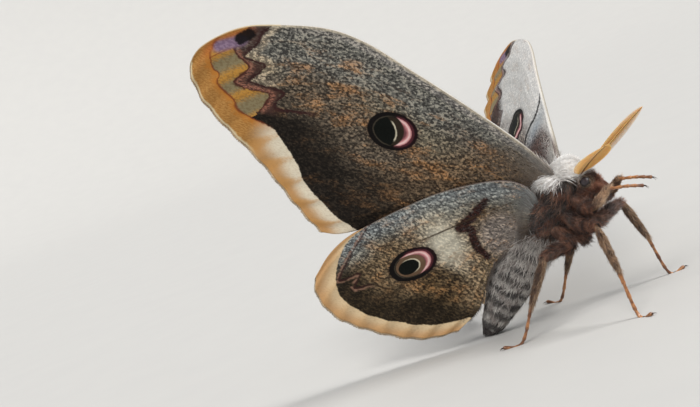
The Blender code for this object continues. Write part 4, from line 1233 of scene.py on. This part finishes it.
def leg_coat(name, femur, tibia, number, band):
    """Fur of one leg, with fringes of longer pale hairs along both edges of the shin."""
    parts = []

    def add(s, disorder, low, high, factor, colour, spread, start):
        flow = wind(s, disorder)
        length = rng.uniform(low, high, len(flow)) * factor
        patch = np.stack([0.48 * s["round"] + start, band + 0.02 * s["t"]], 1)
        parts.append((s["point"], s["normal"], flow, length, vary(colour, spread), patch))

    for form, count, low, high, base_tone, light_tone, start in (
            (femur, 2600, 1.0, 2.5, rgb(66, 44, 37), rgb(156, 108, 84), 0.0),
            (tibia, 1900, 0.7, 1.6, rgb(104, 76, 58), rgb(188, 150, 116), 0.5)):
        s = form.scatter(count)
        colour = layer(base_tone, light_tone, ease(ripple(s["local"], 1.8, 40 + number), 0.3, 0.9) * 0.85)
        dark = ease(ripple(s["local"], 1.1, 60 + number), 0.6, 0.95)
        colour = layer(colour, rgb(54, 38, 32), dark * 0.55)
        colour = layer(colour, light_tone * 1.1, ease(s["t"], 0.8, 1.0) * 0.5)
        remember(s["point"], colour)
        ends = 1 - 0.45 * ease(np.abs(s["t"] - 0.5), 0.3, 0.5)
        add(s, 0.28, low, high, ends, colour, 0.26, start)
    for middle, count, low, high in ((0.75, 500, 1.1, 2.0), (0.25, 300, 0.9, 1.6)):
        round_share = np.arange(tibia.columns) / tibia.columns
        s = tibia.scatter(count, lambda form: np.exp(-((round_share - middle) / 0.09) ** 2) + 1e-4)
        colour = layer(rgb(158, 122, 94), rgb(216, 186, 152), rng.uniform(size=count))
        add(s, 0.3, low, high, 1.0, colour, 0.15, 0.5)
    point, normal, flow, length, colour, patch = merged(parts)
    lift = rng.uniform(0.12, 0.55, len(point))
    grow(f"{name}_coat", point, normal, flow, length, 0.05, lift, colour, patch, sway=0.2, dark_root=0.42,
         slot="leg_brown")


def on_floor(points, faces):
    """A mesh with what is below the floor laid flat on it."""
    return np.column_stack([points[:, :2], np.maximum(points[:, 2], 0.0)]), faces


def leg_foot(name, ankle, foot, tip, hooked):
    """Foot: five joints, each flaring a little, and two claws."""
    line = curve([ankle, foot, tip])(np.linspace(0, 1, 41))
    steps = np.linspace(0, 5, 41)
    size = 0.29 + 0.13 * (steps % 1.0) ** 1.5 * (steps < 5) + 0.06 * (steps < 0.6)
    along = unit(np.gradient(line, axis=0))
    across = unit(np.cross(along, [0, 0, 1.0]))
    tarsus = Form(line, across, np.cross(across, along), size, size * 0.9, 16)
    make_mesh(f"{name}_foot", *on_floor(*tarsus.faces()), CHITIN, "tarsus_orange", [f"{name}_tarsus"])
    t = np.linspace(0, 1, 8)[:, None]
    claws = []
    for way in (1, -1):
        hook = line[-1] + along[-1] * (0.75 * t) + across[-1] * (way * (0.12 + 0.35 * t))
        hook = hook - np.array([0, 0, 1.0]) * (0.25 * t ** 2) * hooked
        claws.append(tube(hook, np.linspace(0.11, 0.02, 8), rows=10, columns=8, up=(0.1, 0.2, 1)).faces())
    make_mesh(f"{name}_claws", *on_floor(*joined(claws)), CLAW, "tarsus_orange")


def make_leg(name, leg, sign, number, hooked):
    """One leg: the forms of its thigh and shin, their fur, and its foot."""
    hip, coxa_end, knee, ankle, foot, tip = leg_points(leg, sign)
    thigh = [hip, coxa_end, (coxa_end + knee) / 2, knee]
    shin = [knee, knee + (ankle - knee) * 0.3, knee + (ankle - knee) * 0.7, ankle]
    femur = tube(thigh, FEMUR_SIZES, rows=50, columns=32, up=(0, 1, 0))
    tibia = tube(shin, TIBIA_SIZES, np.array(TIBIA_SIZES) * 0.75, rows=40, columns=28, up=(0, 1, 0))
    forms.extend([femur, tibia])
    leg_coat(name, femur, tibia, number, 0.83 + 0.025 * (number * 2 + (sign < 0)))
    leg_foot(name, ankle, foot, tip, hooked)


def make_skin(names):
    """One skin under the coat in place of all parts of flesh, with the colours of its tufts, darker as
    painted shade under the coat.
    """
    skin = make_mesh("moth_skin", *joined([form.faces() for form in forms]), COAT)
    remesh = skin.modifiers.new("fuse", "REMESH")
    remesh.mode = "VOXEL"
    remesh.voxel_size = 0.26 * MM
    soften = skin.modifiers.new("soften", "SMOOTH")
    soften.factor = 0.5
    soften.iterations = 4
    bpy.context.view_layer.update()
    fused = bpy.data.meshes.new_from_object(skin.evaluated_get(bpy.context.evaluated_depsgraph_get()))
    skin.modifiers.clear()
    skin.data = fused
    fused.materials.clear()
    fused.materials.append(COAT)
    places = np.empty(len(fused.vertices) * 3, np.float32)
    fused.vertices.foreach_get("co", places)
    places[2::3] = np.maximum(places[2::3], 0.0)
    fused.vertices.foreach_set("co", places)
    roots, colours = merged(coat_roots)
    tree = KDTree(len(roots))
    for i, p in enumerate(roots):
        tree.insert(p, i)
    tree.balance()
    nearest = np.array([tree.find(p)[1] for p in places.reshape(-1, 3) / MM])
    # Painted shade: the skin takes six tenths of the nearest tuft's colour, as the shade under the coat
    set_attribute(skin, "coat", colours[nearest] * 0.6)
    fused.polygons.foreach_set("use_smooth", np.ones(len(fused.polygons), bool))
    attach(skin, "root")
    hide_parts(*names)


def make_eye(side, sign):
    """One eye, with how far each point looks to its own side."""
    points, faces = ellipsoid_form(mirrored(EYE_CENTRE, sign), (EYE_RADIUS,) * 3).faces()
    lens = make_mesh(f"eye_{side}_lens", points, faces, EYE, "eye_dark", [f"eye_{side}"])
    centre = moved(body_axes, np.array([mirrored(EYE_CENTRE, sign)], float))[0]
    aim = turned(body_axes, unit(np.array([sign * 1.0, -0.35, 0.0])))
    set_attribute(lens, "facing", unit(points - centre) @ aim)


def make_antenna(side, sign):
    """A shaft of short joints with two pairs of branches each, every branch set with fine hairs."""
    root = np.array(mirrored(ANTENNA_ROOT, sign))
    pose = ANTENNA_POSES[side]
    along = unit(np.array(mirrored(pose["direction"], sign)))
    level = unit(np.cross(along, [0, 0, 1.0]))
    above = np.cross(level, along)
    turn = sign * math.radians(pose["turn"])
    across = level * math.cos(turn) + above * math.sin(turn)
    up = np.cross(across, along)

    def shaft(s):
        s = np.asarray(s, float)[..., None]
        return root + along * (ANTENNA_LENGTH * s) - above * (ANTENNA_BOW * s ** 2)

    share = np.linspace(-0.06, 1.0, 90)
    joint = 0.24 - 0.12 * share + 0.03 * np.sin(share * 2 * math.pi * 42)
    ways = (np.tile(way, (len(share), 1)) for way in (across, up))
    pieces = [Form(shaft(share), *ways, joint, joint, 10, body_axes).faces()]
    tones = [rgb(112, 66, 26)]
    hairs = []
    t = np.linspace(0, 1, 7)[:, None]
    for s0 in np.linspace(0.05, 0.985, 46):
        full = BRANCH_LENGTH * math.sin(math.pi * s0 ** 0.75) ** 0.7
        for way in (1, -1):
            for pair, (droop, tone) in enumerate(((0.10, rgb(228, 190, 126)), (-0.14, rgb(210, 166, 98)))):
                lean = math.radians(30 + 10 * pair)
                straight = across * (way * math.cos(lean)) + along * math.sin(lean)
                path = (shaft(s0 + 0.008 * pair) + straight * (full * t) + along * (full * 0.12 * t ** 2)
                        + up * droop * (full * t) - up * (0.06 * full * t ** 2))
                sizes = np.linspace(0.085, 0.03, 7)
                pieces.append(tube(path, sizes, rows=7, columns=5, up=up, axes=body_axes).faces())
                tones.append(tone)
                k = max(int(full / 0.16), 3)
                lie = unit(along * 0.9 + straight * 0.25)
                hairs.append((curve(path)(np.linspace(0.08, 0.97, k)), np.tile(lie, (k, 1)),
                              np.tile(up, (k, 1)), np.full(k, s0), np.linspace(0, 1, k)))
    comb = make_mesh(f"antenna_{side}_comb", *joined(pieces), ANTENNA, "antenna_ochre", [f"antenna_{side}"])
    set_attribute(comb, "coat", np.repeat(tones, [len(points) for points, _ in pieces], axis=0))
    place, lie, normal, s0, t = merged(hairs)
    colour = vary(np.tile(rgb(234, 200, 138), (len(place), 1)), 0.1)
    patch = np.stack([0.02 + 0.96 * s0, 0.1 + 0.8 * t], 1)
    grow(f"antenna_{side}_hairs", moved(body_axes, place), turned(body_axes, normal), turned(body_axes, lie),
         0.3, 0.02, 0.1, colour, patch, sink=0.0, sway=0.05, dark_root=0.9, slot="antenna_ochre",
         material=ANTENNA)


SIDES = (("left", 1), ("right", -1))
eyes = np.array([mirrored(EYE_CENTRE, sign) for side, sign in SIDES])
thorax = thorax_form()
abdomen = tube(ABDOMEN_LINE, np.array(ABDOMEN_SIZES) - 0.1, rows=110, columns=64, axes=body_axes)
head = ellipsoid_form(HEAD_CENTRE, np.array(HEAD_SIZE) - (0.3, 0.2, 0.3))
forms = [thorax, abdomen, head]
flesh = ["thorax", "abdomen", "head", "palp_left", "palp_right"]
thorax_coat()
abdomen_coat()
head_coat()
eye_rim_coat()
palp_coat()
for number, (place, leg) in enumerate(LEGS.items()):
    for side, sign in SIDES:
        name = f"leg_{place}_{side}"
        flesh += [f"{name}_femur", f"{name}_tibia"]
        make_leg(name, leg, sign, number, 2.0 if place == "front" else 1.0)
make_skin(flesh)
for side, sign in SIDES:
    make_eye(side, sign)
for side, sign in SIDES:
    make_antenna(side, sign)


# Floor, light and camera

def make_floor():
    """A level disc that rises in a soft bowl far behind the moth."""
    profile = [(r, 0.0) for r in np.linspace(0.1, 1.1, 11)]
    profile += [(1.1 + 1.2 * math.sin(a), 1.2 * (1 - math.cos(a))) for a in np.linspace(0.06, 1.15, 16)]
    turns = 96
    ring = np.linspace(0, 2 * math.pi, turns, endpoint=False)
    points = np.vstack([np.stack([r * np.cos(ring), r * np.sin(ring), np.full(turns, z)], 1)
                        for r, z in profile])
    i = np.arange(turns)
    j = (i + 1) % turns
    faces = [np.stack([k + i, k + j, k + turns + j, k + turns + i], 1)
             for k in range(0, turns * (len(profile) - 1), turns)]
    floor = make_mesh("studio", points / MM, np.vstack(faces), floor_material())
    middle = make_mesh("studio_centre", points[:turns] / MM, i[None], floor.data.materials[0])


def soft_light(name, direction, spread, strength, colour):
    """Even light from one side, with soft shadows."""
    lamp = bpy.data.lights.new(name, "SUN")
    lamp.angle = math.radians(spread)
    lamp.energy = strength
    lamp.color = colour
    holder = bpy.data.objects.new(name, lamp)
    holder.rotation_euler = Vector(direction).to_track_quat("Z", "Y").to_euler()
    bpy.context.scene.collection.objects.link(holder)


make_floor()
world = bpy.data.worlds.new("studio_light")
world.use_nodes = True
world.node_tree.nodes["Background"].inputs["Color"].default_value = (0.95, 0.97, 1.0, 1.0)
world.node_tree.nodes["Background"].inputs["Strength"].default_value = 0.55
bpy.context.scene.world = world

# The camera stands low on the moth's right; its right, up and back directions are square to each other
right = Vector((0.4091, -0.8465, -0.3407))
up = Vector((0.2311, -0.2651, 0.9361))
back = Vector((-0.8828, -0.4617, 0.0872))
soft_light("key", back * 0.8 - right * 0.3 + Vector((0, 0, 0.95)), 25, 1.4, (1.0, 0.97, 0.93))
soft_light("side", right * 0.75 + back * 0.15 + Vector((0, 0, 1.0)), 22, 2.7, (1.0, 0.99, 0.97))

camera_data = bpy.data.cameras.new("camera")
camera_data.lens = 67.8
camera_data.sensor_width = 36.0
camera_data.clip_start = 0.01
camera = bpy.data.objects.new("camera", camera_data)
place = Vector(THORAX_CENTRE) * MM + CAMERA_OFFSET * MM
camera.matrix_world = Matrix([(right[k], up[k], back[k], place[k]) for k in range(3)] + [(0, 0, 0, 1)])
bpy.context.scene.collection.objects.link(camera)
bpy.context.scene.camera = camera
bpy.context.scene.view_settings.view_transform = "Standard"
